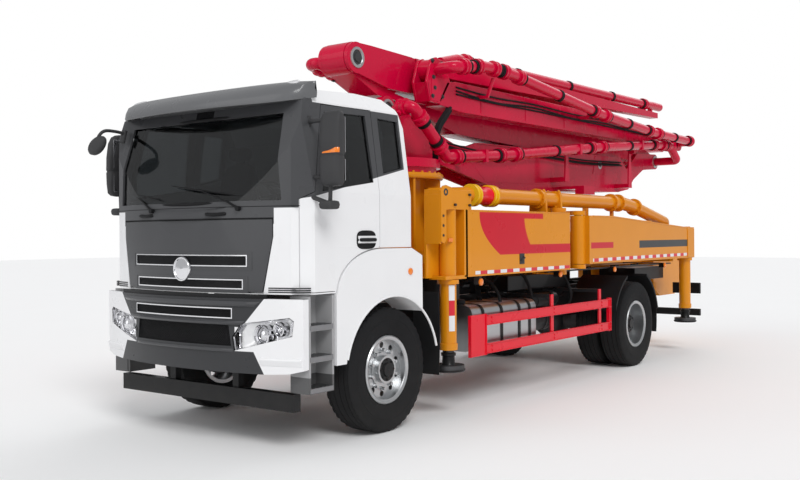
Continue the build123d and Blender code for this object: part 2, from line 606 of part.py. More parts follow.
ARM_1_Z0 = 2240.0
with BuildPart() as arm_1:
    side_plate([(3250, ARM_1_Z0 + 60), (3400, ARM_1_Z0), (6900, 2330), (7250, 2380), (7250, 2640),
                (3250, 2400)],
               -ARM_HALF, ARM_HALF)
    for s in (-1, 1):
        side_plate([(A[0] - 60, A[1] - 100), (2050, 2520), (3300, ARM_1_Z0 + 40), (3700, ARM_1_Z0 + 20),
                    (3700, 2420), (2600, 2700), (1290, A[1] + 95), (A[0], A[1])],
                   s * FORK_IN, s * ARM_HALF)
        eye(s * FORK_IN, s * ARM_HALF, A, EYE_R - 5)
        side_plate([(7150, 2375), (7250, 2380), (7450, 2540), (7800, 2700), (8220, 2760),
                    (B[0], B[1] + 120),
                    (7600, 2950), (7150, 2660)], s * FORK_IN, s * ARM_HALF)
        eye(s * FORK_IN, s * ARM_HALF, B, EYE_R - 10)
        side_plate([(6195, 2560), (6305, 2560), (6290, 2700), (6210, 2700)], s * 52, s * 76)
        rod_x(s * 52, s * 76, *KNEE_FOOT, 48)
    block(-80, 80, 2900, 3300, 2400, 2500)
    for s in (-1, 1):
        side_plate([(LIFT_EYE[0] - 90, LIFT_EYE[1] + 60), (LIFT_EYE[0] + 70, LIFT_EYE[1] + 60),
                    (3300, 2420), (3300, 2330), (LIFT_EYE[0] - 40, LIFT_EYE[1] - 80)], s * 90, s * FORK_IN)
    bore(-ARM_HALF, ARM_HALF, A, PIN_R + FIT)
    eye(-ARM_HALF, ARM_HALF, B, PIN_R)
    rod_x(-76, 76, KNEE_FOOT[0], KNEE_FOOT[1], 26)
    block(ARM_HALF, 560, 5000, 5320, 2300, 2340)
    block(430, 560, 5000, 5320, 2230, 2300)
    for y, z in ((2500, 2575), (4800, 2805), (6800, 3000)):
        block(PIPE_1_X - 64, PIPE_1_X + 68, y - 25, y + 25, z - 70, z + 70)
    block(ARM_HALF, PIPE_1_X - 64, 2475, 2525, 2520, 2570)
    for y, z0, z1 in ((4800, 2450, 2870), (6800, 2440, 3000)):
        side_plate([(y - 60, z0 - 60), (y + 60, z0 - 60), (y + 25, z1), (y - 25, z1)], ARM_HALF + 210,
                   ARM_HALF + 230)
        block(ARM_HALF, ARM_HALF + 210, y - 60, y + 60, z0 - 60, z0)
        block(ARM_HALF + 230, PIPE_1_X - 64, y - 25, y + 25, z1 - 120, z1)
    pipe([(PIPE_1_X - 76, A[0], A[1]), (PIPE_1_X, A[0], A[1]), (PIPE_1_X, 1800, 2520),
          (PIPE_1_X, 3050, 2620), (PIPE_1_X, 5370, 2870), (PIPE_1_X, 7500, 3060), (PIPE_1_X, 8000, 3070),
          (PIPE_1_X, B[0], B[1]), (ARM_HALF, B[0], B[1])], PIPE_R, 60)
save(arm_1.part, "arm_1")


LIFT_BARREL_R = 75.0
LIFT_ROD_R = 45.0
BORE_GAP = 0.08
LIFT_DIR = Vector(0, LIFT_EYE[0] - LIFT_FOOT[0], LIFT_EYE[1] - LIFT_FOOT[1]).normalized()


def along(pivot, direction, distance):
    """The (x, station, z) point at a distance from a pivot along a direction."""
    return (0, pivot[0] + direction.Y * distance, pivot[1] + direction.Z * distance)


with BuildPart() as lift_barrel:
    bar(along(LIFT_FOOT, LIFT_DIR, 82), along(LIFT_FOOT, LIFT_DIR, 960), LIFT_BARREL_R)
    bar(along(LIFT_FOOT, LIFT_DIR, 0), along(LIFT_FOOT, LIFT_DIR, 90), 50)
    bar(along(LIFT_FOOT, LIFT_DIR, 110), along(LIFT_FOOT, LIFT_DIR, 961), LIFT_ROD_R + BORE_GAP,
        mode=Mode.SUBTRACT)
    rod_x(-58, 58, LIFT_FOOT[0], LIFT_FOOT[1], 62)
    rod_x(-60, 60, LIFT_FOOT[0], LIFT_FOOT[1], 30 + FIT, mode=Mode.SUBTRACT)
save(lift_barrel.part, "lift_barrel")
with BuildPart() as lift_rod:
    bar(along(LIFT_FOOT, LIFT_DIR, 130), along(LIFT_EYE, LIFT_DIR, -40), LIFT_ROD_R)
    rod_x(-70, 70, LIFT_EYE[0], LIFT_EYE[1], 58)
save(lift_rod.part, "lift_rod")

KNEE_BARREL_R = 62.0
KNEE_ROD_R = 36.0
KNEE_DIR = Vector(0, KNEE_EYE[0] - KNEE_FOOT[0], KNEE_EYE[1] - KNEE_FOOT[1]).normalized()
with BuildPart() as knee_barrel:
    bar(along(KNEE_FOOT, KNEE_DIR, 66), along(KNEE_FOOT, KNEE_DIR, 980), KNEE_BARREL_R)
    bar(along(KNEE_FOOT, KNEE_DIR, 0), along(KNEE_FOOT, KNEE_DIR, 80), 42)
    bar(along(KNEE_FOOT, KNEE_DIR, 90), along(KNEE_FOOT, KNEE_DIR, 981), KNEE_ROD_R + BORE_GAP,
        mode=Mode.SUBTRACT)
    rod_x(-48, 48, KNEE_FOOT[0], KNEE_FOOT[1], 50)
    rod_x(-50, 50, KNEE_FOOT[0], KNEE_FOOT[1], 26 + FIT, mode=Mode.SUBTRACT)
save(knee_barrel.part, "knee_barrel")
with BuildPart() as knee_rod:
    bar(along(KNEE_FOOT, KNEE_DIR, 110), along(KNEE_EYE, KNEE_DIR, -30), KNEE_ROD_R)
    rod_x(-56, 56, KNEE_EYE[0], KNEE_EYE[1], 48)
save(knee_rod.part, "knee_rod")

with BuildPart() as arm_2:
    side_plate([(B[0], B[1] - 110), (B[0] + 90, B[1] + 60), (8150, 3000), (7700, 3120), (1650, 3160),
                (1250, 3230),
                (C[0] + 60, C[1] + 150), (C[0] - 140, C[1] + 60), (C[0] - 60, C[1] - 140), (1150, 3145),
                (1500, 3120), (2600, 2860), (4500, 2800), (6100, 2850), (7900, 2850)],
               -CORE_HALF, CORE_HALF)
    eye(-CORE_HALF, CORE_HALF, B, EYE_R - 10)
    eye(-CORE_HALF, CORE_HALF, C, 160)
    bore(-CORE_HALF, CORE_HALF, B, PIN_R + FIT)
    bore(-CORE_HALF, CORE_HALF, C, PIN_R + FIT)
    pipe([(-ARM_HALF - SIDE_GAP, B[0], B[1]), (PIPE_2_X, B[0], B[1]), (PIPE_2_X, 7900, 2960),
          (PIPE_2_X, 1900, 3020), (PIPE_2_X, C[0], C[1]), (PIPE_2_X - 72, C[0], C[1])], PIPE_R, 62)
    for y in (2400, 4500, 6600):
        block(PIPE_2_X + 40, -CORE_HALF, y - 25, y + 25, 2960, 3040)
save(arm_2.part, "arm_2")

ARM_3_Z0 = 3180.0
with BuildPart() as arm_3:
    side_plate([(1560, ARM_3_Z0 + 40), (D[0] - 400, ARM_3_Z0), (D[0] - 400, 3340), (6000, 3500),
                (1560, 3600)], -ARM_HALF,
               ARM_HALF)
    for s in (-1, 1):
        side_plate([(C[0], C[1] - 150), (1300, 3220), (1700, 3215), (1700, 3600), (1000, 3620),
                    (C[0], C[1] + 150)],
                   s * FORK_IN, s * ARM_HALF)
        eye(s * FORK_IN, s * ARM_HALF, C, 155)
    side_plate([(D[0] - 450, ARM_3_Z0), (D[0] - 120, 3050), (D[0] + 20, 3040), (D[0] + 60, 3250),
                (D[0] - 450, 3345)], -ARM_HALF, ARM_HALF)
    eye(-ARM_HALF, ARM_HALF, D, EYE_R)
    eye(-ARM_HALF, LEFT_X1 + 12, D, PIN_R)
    eye(-ARM_HALF, ARM_HALF, C, PIN_R)
    pipe([(PIPE_3_X + 74, C[0], C[1]), (PIPE_3_X, C[0], C[1]), (PIPE_3_X, 1500, 3400),
          (PIPE_3_X, D[0] - 300, 3270), (PIPE_3_X, D[0], D[1]), (-ARM_HALF, D[0], D[1])], PIPE_R, 62)
    for y, z in ((2200, 3370), (4800, 3330), (7400, 3280)):
        block(PIPE_3_X + 40, -ARM_HALF, y - 25, y + 25, z - 30, z + 30)
save(arm_3.part, "arm_3")

with BuildPart() as arm_4:
    side_plate([(D[0] - 60, D[1] + 100), (D[0] - 60, D[1] - 100), (6000, 3050), (2200, 3040), (1620, 3100),
                (1620, 3290), (2100, 3360), (6000, 3360), (8200, 3280)], LEFT_X0, LEFT_X1)
    for x0, x1 in ((LEFT_X0, LEFT_FORK_IN), (LEFT_X1 - PLATE_T, LEFT_X1)):
        side_plate([(1620, 3100), (1800, 3090), (2000, 3350), (1870, 3480), (E[0], E[1] + 120),
                    (E[0] - 120, E[1] + 60),
                    (1560, 3300)], x0, x1)
        eye(x0, x1, E, EYE_R)
    eye(LEFT_X0, LEFT_X1, D, EYE_R)
    bore(LEFT_X0, LEFT_X1, D, PIN_R + FIT)
    bore(LEFT_X0, LEFT_X1, E, PIN_R + FIT)
    pipe([(LEFT_X1 + 16, D[0], D[1]), (PIPE_4_X, D[0], D[1]), (PIPE_4_X, 7300, 3230),
          (PIPE_4_X, 5500, 3330),
          (PIPE_4_X, 4000, 3580), (PIPE_4_X, 2700, 3600), (PIPE_4_X, E[0], E[1]), (LEFT_X1 + 12, E[0], E[1])],
         PIPE_R, 90)
    for y, z in ((7900, 3200), (6400, 3270), (5000, 3340), (2400, 3340)):
        block(LEFT_X1, PIPE_4_X - 40, y - 25, y + 25, z - 60, z)
    for y, z in ((5000, 3400), (2400, 3560)):
        block(PIPE_4_X - 40, PIPE_4_X, y - 25, y + 25, 3280, z)
save(arm_4.part, "arm_4")

LEFT_CORE_X0 = LEFT_FORK_IN + EYE_SIDE_GAP
LEFT_CORE_X1 = LEFT_X1 - PLATE_T - EYE_SIDE_GAP
with BuildPart() as arm_5:
    side_plate([(E[0], E[1] - 50), (2100, 3390), (7800, 3500), (7800, 3580), (3000, 3600), (2000, 3590),
                (E[0], E[1] + 100)],
               LEFT_CORE_X0, LEFT_CORE_X1)
    eye(LEFT_CORE_X0, LEFT_CORE_X1, E, EYE_R - 20)
    bore(LEFT_CORE_X0, LEFT_CORE_X1, E, PIN_R + FIT)
    eye(LEFT_X0 - 8, LEFT_X1 + 8, E, PIN_R)
    pipe([(PIPE_5_X, 1980, 3560), (PIPE_5_X, 2300, 3640), (PIPE_5_X, 7600, 3690),
          (PIPE_5_X, 7760, OUTLET_Z),
          (PIPE_5_X, OUTLET_Y, OUTLET_Z)], PIPE_R, 80)
    for y in (3200, 4700, 6200, 7700):
        block(PIPE_5_X - 30, PIPE_5_X + 30, y - 25, y + 25, 3540, 3640)
save(arm_5.part, "arm_5")


# ---------------------------------------------------------------- cab
# One closed form, cut by three outlines: the side view, the front view and the plan. The shell,
# doors, lid and glass are all slices of it, so that their faces line up.
BELT_Y = -1250.0               # centre of the windscreen's lower edge
HEAD_Y = -1010.0               # and of its upper edge
BELT_FRONT_Z = 1900.0
HEAD_Z = 2770.0


def cab_form(inset, shift=0.0, mode=Mode.ADD, open_ends=False):
    """The cab's outer form drawn in by inset, its front moved back by shift.

    With open_ends only the sides and the roof's slopes bound it, as behind a door.
    """
    with BuildPart(mode=Mode.PRIVATE) as form:
        if open_ends:
            block(-CAB_HALF, CAB_HALF, CAB_FRONT_Y, CAB_REAR_Y, CAB_Z0, CAB_ROOF_Z)
        else:
            side_plate([(CAB_FRONT_Y + shift, CAB_Z0 + inset), (CAB_FRONT_Y + shift, 1700),
                        (BELT_Y + shift, BELT_FRONT_Z), (HEAD_Y + shift, HEAD_Z - inset),
                         (-850 + shift, 2875 - inset), (-300, CAB_ROOF_Z - inset),
                        (60, 2890 - inset), (200 - inset, 2810 - inset), (CAB_REAR_Y - inset, 2650 - inset),
                        (CAB_REAR_Y - inset, CAB_STEP_Z + inset), (CAB_STEP_Y - inset, CAB_STEP_Z + inset),
                        (CAB_STEP_Y - inset, CAB_Z0 + inset)], -CAB_HALF, CAB_HALF)
        wide, narrow = CAB_HALF - inset, CAB_ROOF_HALF - inset
        front_plate([(-wide, CAB_Z0), (wide, CAB_Z0), (wide, BELT_Z), (narrow, 2780),
                     (narrow - 70, CAB_ROOF_Z),
                     (70 - narrow, CAB_ROOF_Z), (-narrow, 2780), (-wide, BELT_Z)], -1400, 400,
                    mode=Mode.INTERSECT)
        with BuildSketch(Plane.XY.offset(CAB_Z0)) as plan:
            with BuildLine():
                front = CAB_FRONT_Y + shift
                ThreePointArc((-1080, fy(front + 170)), (0, fy(front)), (1080, fy(front + 170)))
                Polyline((1080, fy(front + 170)), (wide, fy(front + 290)), (wide, fy(CAB_REAR_Y)),
                         (-wide, fy(CAB_REAR_Y)), (-wide, fy(front + 290)), (-1080, fy(front + 170)))
            make_face()
        extrude(plan.sketch, amount=CAB_ROOF_Z - CAB_Z0, mode=Mode.INTERSECT)
    add(form.part, mode=mode)


DOOR_OUTLINE = [(-1060, 1262), (-752, 1262), (-752, 1612), (-175, 1612), (-175, 2765), (-800, 2755),
                (-975, 2050),
                (-1060, 1990)]
DOOR_WINDOW = [(-885, 2057), (-233, 2150), (-252, 2715), (-773, 2700)]
QUARTER_WINDOW = [(-89, 2230), (190, 2290), (190, 2700), (-89, 2710)]
SCREEN = [(-1000, 1985), (1000, 1985), (940, 2680), (-940, 2680)]
LID_Z0 = 1262.0
LID_Z1 = 1835.0
LID_HALF_TOP = 924.0
LID_HALF_BOTTOM = 830.0
LID_SHOULDER_Z = 1690.0
LID_OUTLINE = [(-LID_HALF_BOTTOM, LID_Z0), (LID_HALF_BOTTOM, LID_Z0), (LID_HALF_TOP - 4, LID_SHOULDER_Z),
               (LID_HALF_TOP - 4, LID_Z1), (4 - LID_HALF_TOP, LID_Z1), (4 - LID_HALF_TOP, LID_SHOULDER_Z)]
HANDLE = (-470, -240, 1640, 1700)      # station and z limits of the door handle


with BuildPart() as cab_shell:
    cab_form(0)
    cab_form(CAB_WALL, LINING, mode=Mode.SUBTRACT)
    # The upper front is thin: the space behind the windscreen reaches forwards to it.
    with BuildPart(mode=Mode.PRIVATE) as upper_space:
        cab_form(CAB_WALL, CAB_WALL)
        block(-CAB_HALF, CAB_HALF, -1400, 400, 1960, CAB_ROOF_Z, mode=Mode.INTERSECT)
    add(upper_space.part, mode=Mode.SUBTRACT)
    front_plate(SCREEN, -1400, -850, mode=Mode.SUBTRACT)
    with BuildPart(mode=Mode.PRIVATE) as lid_space:
        front_plate([(x + (LID_GAP if x > 0 else -LID_GAP), z + (LID_GAP if z > 1500 else -LID_GAP))
                     for x, z in LID_OUTLINE], -1400, -900)
        cab_form(0, LID_T + LID_GAP, mode=Mode.SUBTRACT)
    add(lid_space.part, mode=Mode.SUBTRACT)
    for s in (-1, 1):
        side_plate(DOOR_OUTLINE, s * SIDE_CUT_X0, s * SIDE_CUT_X1, mode=Mode.SUBTRACT, grow=DOOR_GAP)
        side_plate(QUARTER_WINDOW, s * SIDE_CUT_X0, s * SIDE_CUT_X1, mode=Mode.SUBTRACT)
    # Tilting hinge arms under the front.
    for s in (-1, 1):
        side_plate([(-1237, 754), (-818, 1026), (-800, 1045), (-800, CAB_Z0 + 20), (-745, CAB_Z0 + 20),
                    (-745, 985), (-1193, 686)], s * 300, s * 340)
        rod_x(s * 300, s * 340, *TILT_PIVOT, 45)
        rod_x(s * 299, s * 341, *TILT_PIVOT, 25 + FIT, mode=Mode.SUBTRACT)
save(cab_shell.part, "cab_shell")

with BuildPart() as cab_glass:
    front_plate(SCREEN, -1400, -850)
    with BuildPart(mode=Mode.PRIVATE) as behind:
        cab_form(-1, 20 + GLASS_T)
    with BuildPart(mode=Mode.PRIVATE) as ahead:
        cab_form(-1, 20)
    add(ahead.part, mode=Mode.INTERSECT)
    add(behind.part, mode=Mode.SUBTRACT)
save(cab_glass.part, "windscreen")

with BuildPart() as quarter_glass:
    for s in (-1, 1):
        side_plate(QUARTER_WINDOW, s * (SIDE_CUT_X0 + 15), s * SIDE_CUT_X1)
    cab_form(20, mode=Mode.INTERSECT)
    cab_form(20 + GLASS_T, mode=Mode.SUBTRACT)
save(quarter_glass.part, "quarter_windows")

with BuildPart() as cab_interior:
    for x in (-560, 560):
        block(x - 250, x + 250, -620, -130, 1655, 1990)
        block(x - 240, x + 240, -150, -20, 1950, 2560)
    block(-1050, 1050, -965, -800, 1700, 1930)
    with Locations(Location((560, fy(-700), 2030), (-30, 0, 0))):
        Torus(210, 18)
        Cylinder(70, 30)
        Box(400, 30, 14)
    bar((560, -840, 1860), (560, -705, 2025), 30)
save(cab_interior.part, "cab_interior")

for side, s in SIDES:
    with BuildPart() as door:
        side_plate(DOOR_OUTLINE, s * (SIDE_CUT_X0 + 5), s * SIDE_CUT_X1)
        cab_form(0, mode=Mode.INTERSECT)
        cab_form(DOOR_T, mode=Mode.SUBTRACT, open_ends=True)
        side_plate(DOOR_WINDOW, s * SIDE_CUT_X0, s * SIDE_CUT_X1, mode=Mode.SUBTRACT)
        block(s * CAB_HALF, s * (CAB_HALF + 22), *HANDLE)
    save(door.part, f"{side}_door")
    with BuildPart() as door_glass:
        side_plate(DOOR_WINDOW, s * SIDE_CUT_X0, s * SIDE_CUT_X1)
        cab_form(20, mode=Mode.INTERSECT)
        cab_form(20 + GLASS_T, mode=Mode.SUBTRACT)
    save(door_glass.part, f"{side}_door_glass")
    with BuildPart() as mirror:
        block(s * 1290, s * 1410, -1060, -720, 2080, 2670)
        fillet(mirror.edges(), 30)
        block(s * 1290, s * 1400, -1150, -960, 1905, 1970)
        for z in (2160, 2600):
            bar((s * 1120, -765, z), (s * 1300, -765, z), 16)
        cab_form(0, mode=Mode.SUBTRACT)
        bar((s * 1300, -1020, 1970), (s * 1300, -1020, 2100), 14)
    save(mirror.part, f"{side}_mirror")

with BuildPart() as front_lid:
    front_plate(LID_OUTLINE, -1400, -900)
    cab_form(0, mode=Mode.INTERSECT)
    cab_form(0, LID_T, mode=Mode.SUBTRACT)
    for half, z0, z1 in ((695, 1461, 1555), (656, 1280, 1360)):
        with BuildPart(mode=Mode.PRIVATE) as slot:
            block(-half, half, -1400, -900, z0, z1)
            cab_form(0, 14, mode=Mode.SUBTRACT)
        add(slot.part, mode=Mode.SUBTRACT)
save(front_lid.part, "front_lid")
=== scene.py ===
"""Dresses the concrete pump truck for rendering.

Every place is metres in the row frame. Places along the truck are given as stations: metres
rearwards from the front axle, which at() turns into the row frame's y.
"""
import math

import bmesh
import bpy
from mathutils import Matrix, Vector
from mathutils.geometry import delaunay_2d_cdt


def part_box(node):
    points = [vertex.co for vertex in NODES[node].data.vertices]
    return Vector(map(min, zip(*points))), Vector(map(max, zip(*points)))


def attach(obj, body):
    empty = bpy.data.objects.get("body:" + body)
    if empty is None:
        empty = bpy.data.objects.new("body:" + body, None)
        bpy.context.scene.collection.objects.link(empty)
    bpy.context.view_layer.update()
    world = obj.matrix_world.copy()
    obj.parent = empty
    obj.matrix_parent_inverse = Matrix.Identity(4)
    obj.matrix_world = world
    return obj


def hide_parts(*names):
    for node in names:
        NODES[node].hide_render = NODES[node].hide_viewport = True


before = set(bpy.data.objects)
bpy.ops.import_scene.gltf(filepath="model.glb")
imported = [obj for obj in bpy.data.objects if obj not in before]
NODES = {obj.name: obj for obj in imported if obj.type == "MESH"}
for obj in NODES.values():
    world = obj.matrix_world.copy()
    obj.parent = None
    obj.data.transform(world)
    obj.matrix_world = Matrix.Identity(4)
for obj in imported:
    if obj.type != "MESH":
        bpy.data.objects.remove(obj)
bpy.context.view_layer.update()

SIDES = (("left", 1), ("right", -1))
TYRE_LOW, TYRE_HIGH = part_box("front_left_tyre")
REAR_LOW, REAR_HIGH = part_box("rear_left_tyres")
AXLE_Y = (TYRE_LOW.y + TYRE_HIGH.y) / 2
TYRE_R = (TYRE_HIGH.z - TYRE_LOW.z) / 2
TYRE_W = TYRE_HIGH.x - TYRE_LOW.x
WHEELBASE = (REAR_LOW.y + REAR_HIGH.y) / 2 - AXLE_Y
FRONT_WHEEL_X = (TYRE_LOW.x + TYRE_HIGH.x) / 2
REAR_OUTER_X = REAR_HIGH.x - TYRE_W / 2
REAR_INNER_X = REAR_LOW.x + TYRE_W / 2


def at(x, station, z):
    """A point of the row frame from x, the station behind the front axle, and z."""
    return Vector((x, AXLE_Y + station, z))


# ---------------------------------------------------------------- shader maths
class Field:
    """A number that shader nodes work out, written with Python's operators."""

    def __init__(self, tree, socket):
        self.tree = tree
        self.socket = socket

    def _math(self, operation, *others):
        node = self.tree.nodes.new("ShaderNodeMath")
        node.operation = operation
        self.tree.links.new(self.socket, node.inputs[0])
        for place, other in enumerate(others, 1):
            if isinstance(other, Field):
                self.tree.links.new(other.socket, node.inputs[place])
            else:
                node.inputs[place].default_value = other
        return Field(self.tree, node.outputs[0])

    def __add__(self, other):
        return self._math("ADD", other)

    def __sub__(self, other):
        return self._math("SUBTRACT", other)

    def __mul__(self, other):
        return self._math("MULTIPLY", other)

    def low(self, other):
        return self._math("MINIMUM", other)

    def high(self, other):
        return self._math("MAXIMUM", other)

    def size(self):
        return self._math("ABSOLUTE")

    def wave(self, length):
        """The share of a wave of this length, from 0 to 1."""
        return (self * (1 / length))._math("FRACT")

    def step(self, soft=0.002):
        """0 where negative and 1 where positive, with a soft edge of this width."""
        node = self.tree.nodes.new("ShaderNodeMapRange")
        node.inputs["From Min"].default_value = -soft
        node.inputs["From Max"].default_value = soft
        self.tree.links.new(self.socket, node.inputs["Value"])
        return Field(self.tree, node.outputs["Result"])


class Finish:
    """One material: a Principled shader and the nodes that feed it."""

    def __init__(self, name, **values):
        self.material = bpy.data.materials.new(name)
        self.material.use_nodes = True
        self.tree = self.material.node_tree
        self.shader = self.tree.nodes["Principled BSDF"]
        for socket, value in values.items():
            self.shader.inputs[socket.replace("_", " ")].default_value = value
        where = self.tree.nodes.new("ShaderNodeTexCoord").outputs["Object"]
        split = self.tree.nodes.new("ShaderNodeSeparateXYZ")
        self.tree.links.new(where, split.inputs[0])
        self.where = where
        self.x = Field(self.tree, split.outputs[0])
        self.y = Field(self.tree, split.outputs[1]) - AXLE_Y
        self.z = Field(self.tree, split.outputs[2])

    def noise(self, scale, detail=3.0, stretch=(1, 1, 1)):
        mapping = self.tree.nodes.new("ShaderNodeMapping")
        mapping.inputs["Scale"].default_value = stretch
        self.tree.links.new(self.where, mapping.inputs["Vector"])
        node = self.tree.nodes.new("ShaderNodeTexNoise")
        node.inputs["Scale"].default_value = scale
        node.inputs["Detail"].default_value = detail
        self.tree.links.new(mapping.outputs[0], node.inputs["Vector"])
        return Field(self.tree, node.outputs["Fac"])

    def blend(self, mask, low, high):
        """A colour that goes from low to high as mask goes from 0 to 1."""
        node = self.tree.nodes.new("ShaderNodeMix")
        node.data_type = "RGBA"
        self.tree.links.new(mask.socket, node.inputs["Factor"])
        for name, colour in (("A", low), ("B", high)):
            socket = next(s for s in node.inputs if s.name == name and s.type == "RGBA")
            if isinstance(colour, bpy.types.NodeSocket):
                self.tree.links.new(colour, socket)
            else:
                socket.default_value = (*colour, 1)
        return next(s for s in node.outputs if s.type == "RGBA")

    def colour(self, socket):
        self.tree.links.new(socket, self.shader.inputs["Base Color"])

    def rough(self, field, low, high):
        self.tree.links.new((field * (high - low) + low).socket, self.shader.inputs["Roughness"])

    def bump(self, field, height, strength=1.0):
        node = self.tree.nodes.new("ShaderNodeBump")
        node.inputs["Distance"].default_value = height
        node.inputs["Strength"].default_value = strength
        self.tree.links.new(field.socket, node.inputs["Height"])
        self.tree.links.new(node.outputs[0], self.shader.inputs["Normal"])


def shade(colour, factor):
    return tuple(min(1.0, c * factor) for c in colour)


# ---------------------------------------------------------------- colours
WHITE = (0.83, 0.83, 0.84)
DARK_GREY = (0.066, 0.067, 0.071)
BLACK = (0.010, 0.010, 0.011)
YELLOW = (0.72, 0.262, 0.006)
CRIMSON = (0.60, 0.001, 0.040)
RED = (0.76, 0.002, 0.020)
AMBER = (0.95, 0.22, 0.01)
DUST = (0.32, 0.30, 0.27)
FLASH_RED = (0.58, 0.002, 0.018)
STRIPE_BLACK = (0.03, 0.03, 0.032)
DARK_BAR = (0.034, 0.035, 0.038)        # the bumper's dark middle
TAPE_WHITE = ((0.80, 0.80, 0.80), (0.62, 0.62, 0.64))      # between and on the comb's lines
TAPE_RED = ((0.70, 0.01, 0.03), (0.45, 0.004, 0.02))
COMB = 0.011                            # the pitch of the comb in the tape
PANEL_X = 1.235                         # flashes show only on faces further out than this
PAINT_VALUES = {"Coat_Weight": 0.25, "Coat_Roughness": 0.06, "Specular_IOR_Level": 0.16}


def grime(finish, top, rise):
    """The share of dust: patchy, growing by rise for each metre down from top."""
    height = (finish.z * -1 + top) * rise
    return (height.high(0) * finish.noise(9.0, 6.0)).low(1)


def dusted(finish, colour, tone=0.05, dust_top=0.9, dust=0.08):
    """A colour with cloudy variation, and dust that thins out upwards from the ground."""
    cloud = finish.noise(2.3, 4.0)
    base = finish.blend(cloud, shade(colour, 1 - tone), shade(colour, 1 + tone))
    return finish.blend(grime(finish, dust_top, dust / dust_top), base, DUST)


def sprayed(finish, roughness):
    """Ends a paint: an even sheen with a faint orange peel."""
    finish.rough(finish.noise(5.0, 5.0), roughness - 0.04, roughness + 0.05)
    finish.bump(finish.noise(160.0, 2.0), 0.0002, 0.12)
    return finish.material


def paint(name, colour, roughness=0.28, coat=0.25, metallic=0.0, tone=0.05, dust=0.08):
    finish = Finish(name, Metallic=metallic, Coat_Weight=coat, Coat_Roughness=0.06, Specular_IOR_Level=0.16)
    finish.colour(dusted(finish, colour, tone, dust=dust))
    return sprayed(finish, roughness)


def two_tone(name, mask_of, low, high, roughness=0.28):
    """Paint in two colours. mask_of(finish) is above 0 where the second one is."""
    finish = Finish(name, **PAINT_VALUES)
    mask = mask_of(finish).step()
    cloud = finish.noise(2.3, 4.0)
    first = finish.blend(cloud, shade(low, 0.95), shade(low, 1.04))
    second = finish.blend(cloud, shade(high, 0.92), shade(high, 1.08))
    dust = grime(finish, 0.9, 0.08)
    finish.colour(finish.blend(dust, finish.blend(mask, first, second), DUST))
    return sprayed(finish, roughness)


def plastic(name, colour=BLACK, grain=0.0005):
    finish = Finish(name, Specular_IOR_Level=0.16)
    finish.colour(dusted(finish, colour, 0.12, 1.0, 0.04))
    finish.rough(finish.noise(20.0, 4.0), 0.45, 0.62)
    finish.bump(finish.noise(700.0, 2.0), grain, 0.5)
    return finish.material


def metal(name, colour, low, high, scale=30.0, stretch=(1, 1, 1), bump=0.0003):
    finish = Finish(name, Metallic=1.0)
    finish.colour(dusted(finish, colour, 0.08, 0.9, 0.15))
    grain = finish.noise(scale, 5.0, stretch)
    finish.rough(grain, low, high)
    finish.bump(grain, bump, 0.4)
    return finish.material


def glass(name, colour, roughness=0.02, ior=1.45):
    finish = Finish(name, Transmission_Weight=1.0, IOR=ior)
    finish.colour(finish.blend(finish.noise(3.0), shade(colour, 0.9), shade(colour, 1.1)))
    finish.rough(finish.noise(8.0), roughness, roughness + 0.03)
    return finish.material


def lens(name, colour, length=0.012):
    """A coloured lamp lens with moulded ribs."""
    finish = Finish(name, Coat_Weight=0.6, Coat_Roughness=0.05)
    finish.colour(finish.blend(finish.noise(60.0), shade(colour, 0.75), shade(colour, 1.15)))
    finish.rough(finish.noise(30.0), 0.12, 0.22)
    ribs = (finish.z.wave(length) - 0.5).size() + (finish.y.wave(length) - 0.5).size()
    finish.bump(ribs, 0.0015, 0.6)
    return finish.material


def tape(name, mask_of):
    """White reflecting tape with a fine comb in it, red where mask_of(finish) is 1."""
    finish = Finish(name)
    mask = mask_of(finish)
    comb = ((finish.y.wave(COMB) - 0.5).size() + (finish.z.wave(COMB) - 0.5).size()) * 0.3
    white = finish.blend(comb, *TAPE_WHITE)
    red = finish.blend(comb, *TAPE_RED)
    finish.colour(finish.blend(mask, white, red))
    finish.rough(finish.noise(40.0), 0.28, 0.4)
    return finish.material


def red_lengths(finish):
    """Every second length of 0.125 m along the truck."""
    return (finish.y.wave(0.25) - 0.5).step(0.01)


def red_middle(finish):
    """The middle of the tape that runs up a leg."""
    return (finish.z - 0.945).low(finish.z * -1 + 1.088).step(0.002)


def rubber(name):
    finish = Finish(name, Specular_IOR_Level=0.14)
    finish.colour(dusted(finish, (0.013, 0.013, 0.014), 0.25, 0.8, 0.05))
    finish.rough(finish.noise(18.0, 5.0), 0.62, 0.85)
    finish.bump(finish.noise(260.0, 3.0), 0.0008, 0.5)
    return finish.material


def cloth(name, colour):
    finish = Finish(name, Roughness=0.9, Sheen_Weight=0.3)
    weave = (finish.x.wave(0.004) - 0.5).size() + (finish.z.wave(0.004) - 0.5).size()
    finish.colour(finish.blend(weave, shade(colour, 0.7), shade(colour, 1.3)))
    finish.bump(weave, 0.0006, 0.8)
    return finish.material


def belt(finish):
    """Above 0 over the side windows' lower edge, which rises to the rear."""
    return finish.z - ((finish.y + 1.06) * 0.225 + 1.995)


def cab_mask(finish):
    """The dark band round the windscreen, the doors' windows and the quarter windows."""
    front = (finish.y * -1 - 1.045).low(finish.z - 1.925).low(finish.z * -1 + 2.86)
    cowl = (finish.y * -1 - 1.045).low(finish.z - 1.80).low(finish.x.size() * -1 + 0.936)
    pillar = (finish.y * -1 - 0.90).low(finish.z - 2.60).low(finish.z * -1 + 2.86)
    side = belt(finish).low(finish.z * -1 + 2.765).low(finish.y * -1 + 0.215)
    side = side.low(finish.x.size() - 0.95)
    return front.high(side).high(pillar).high(cowl)


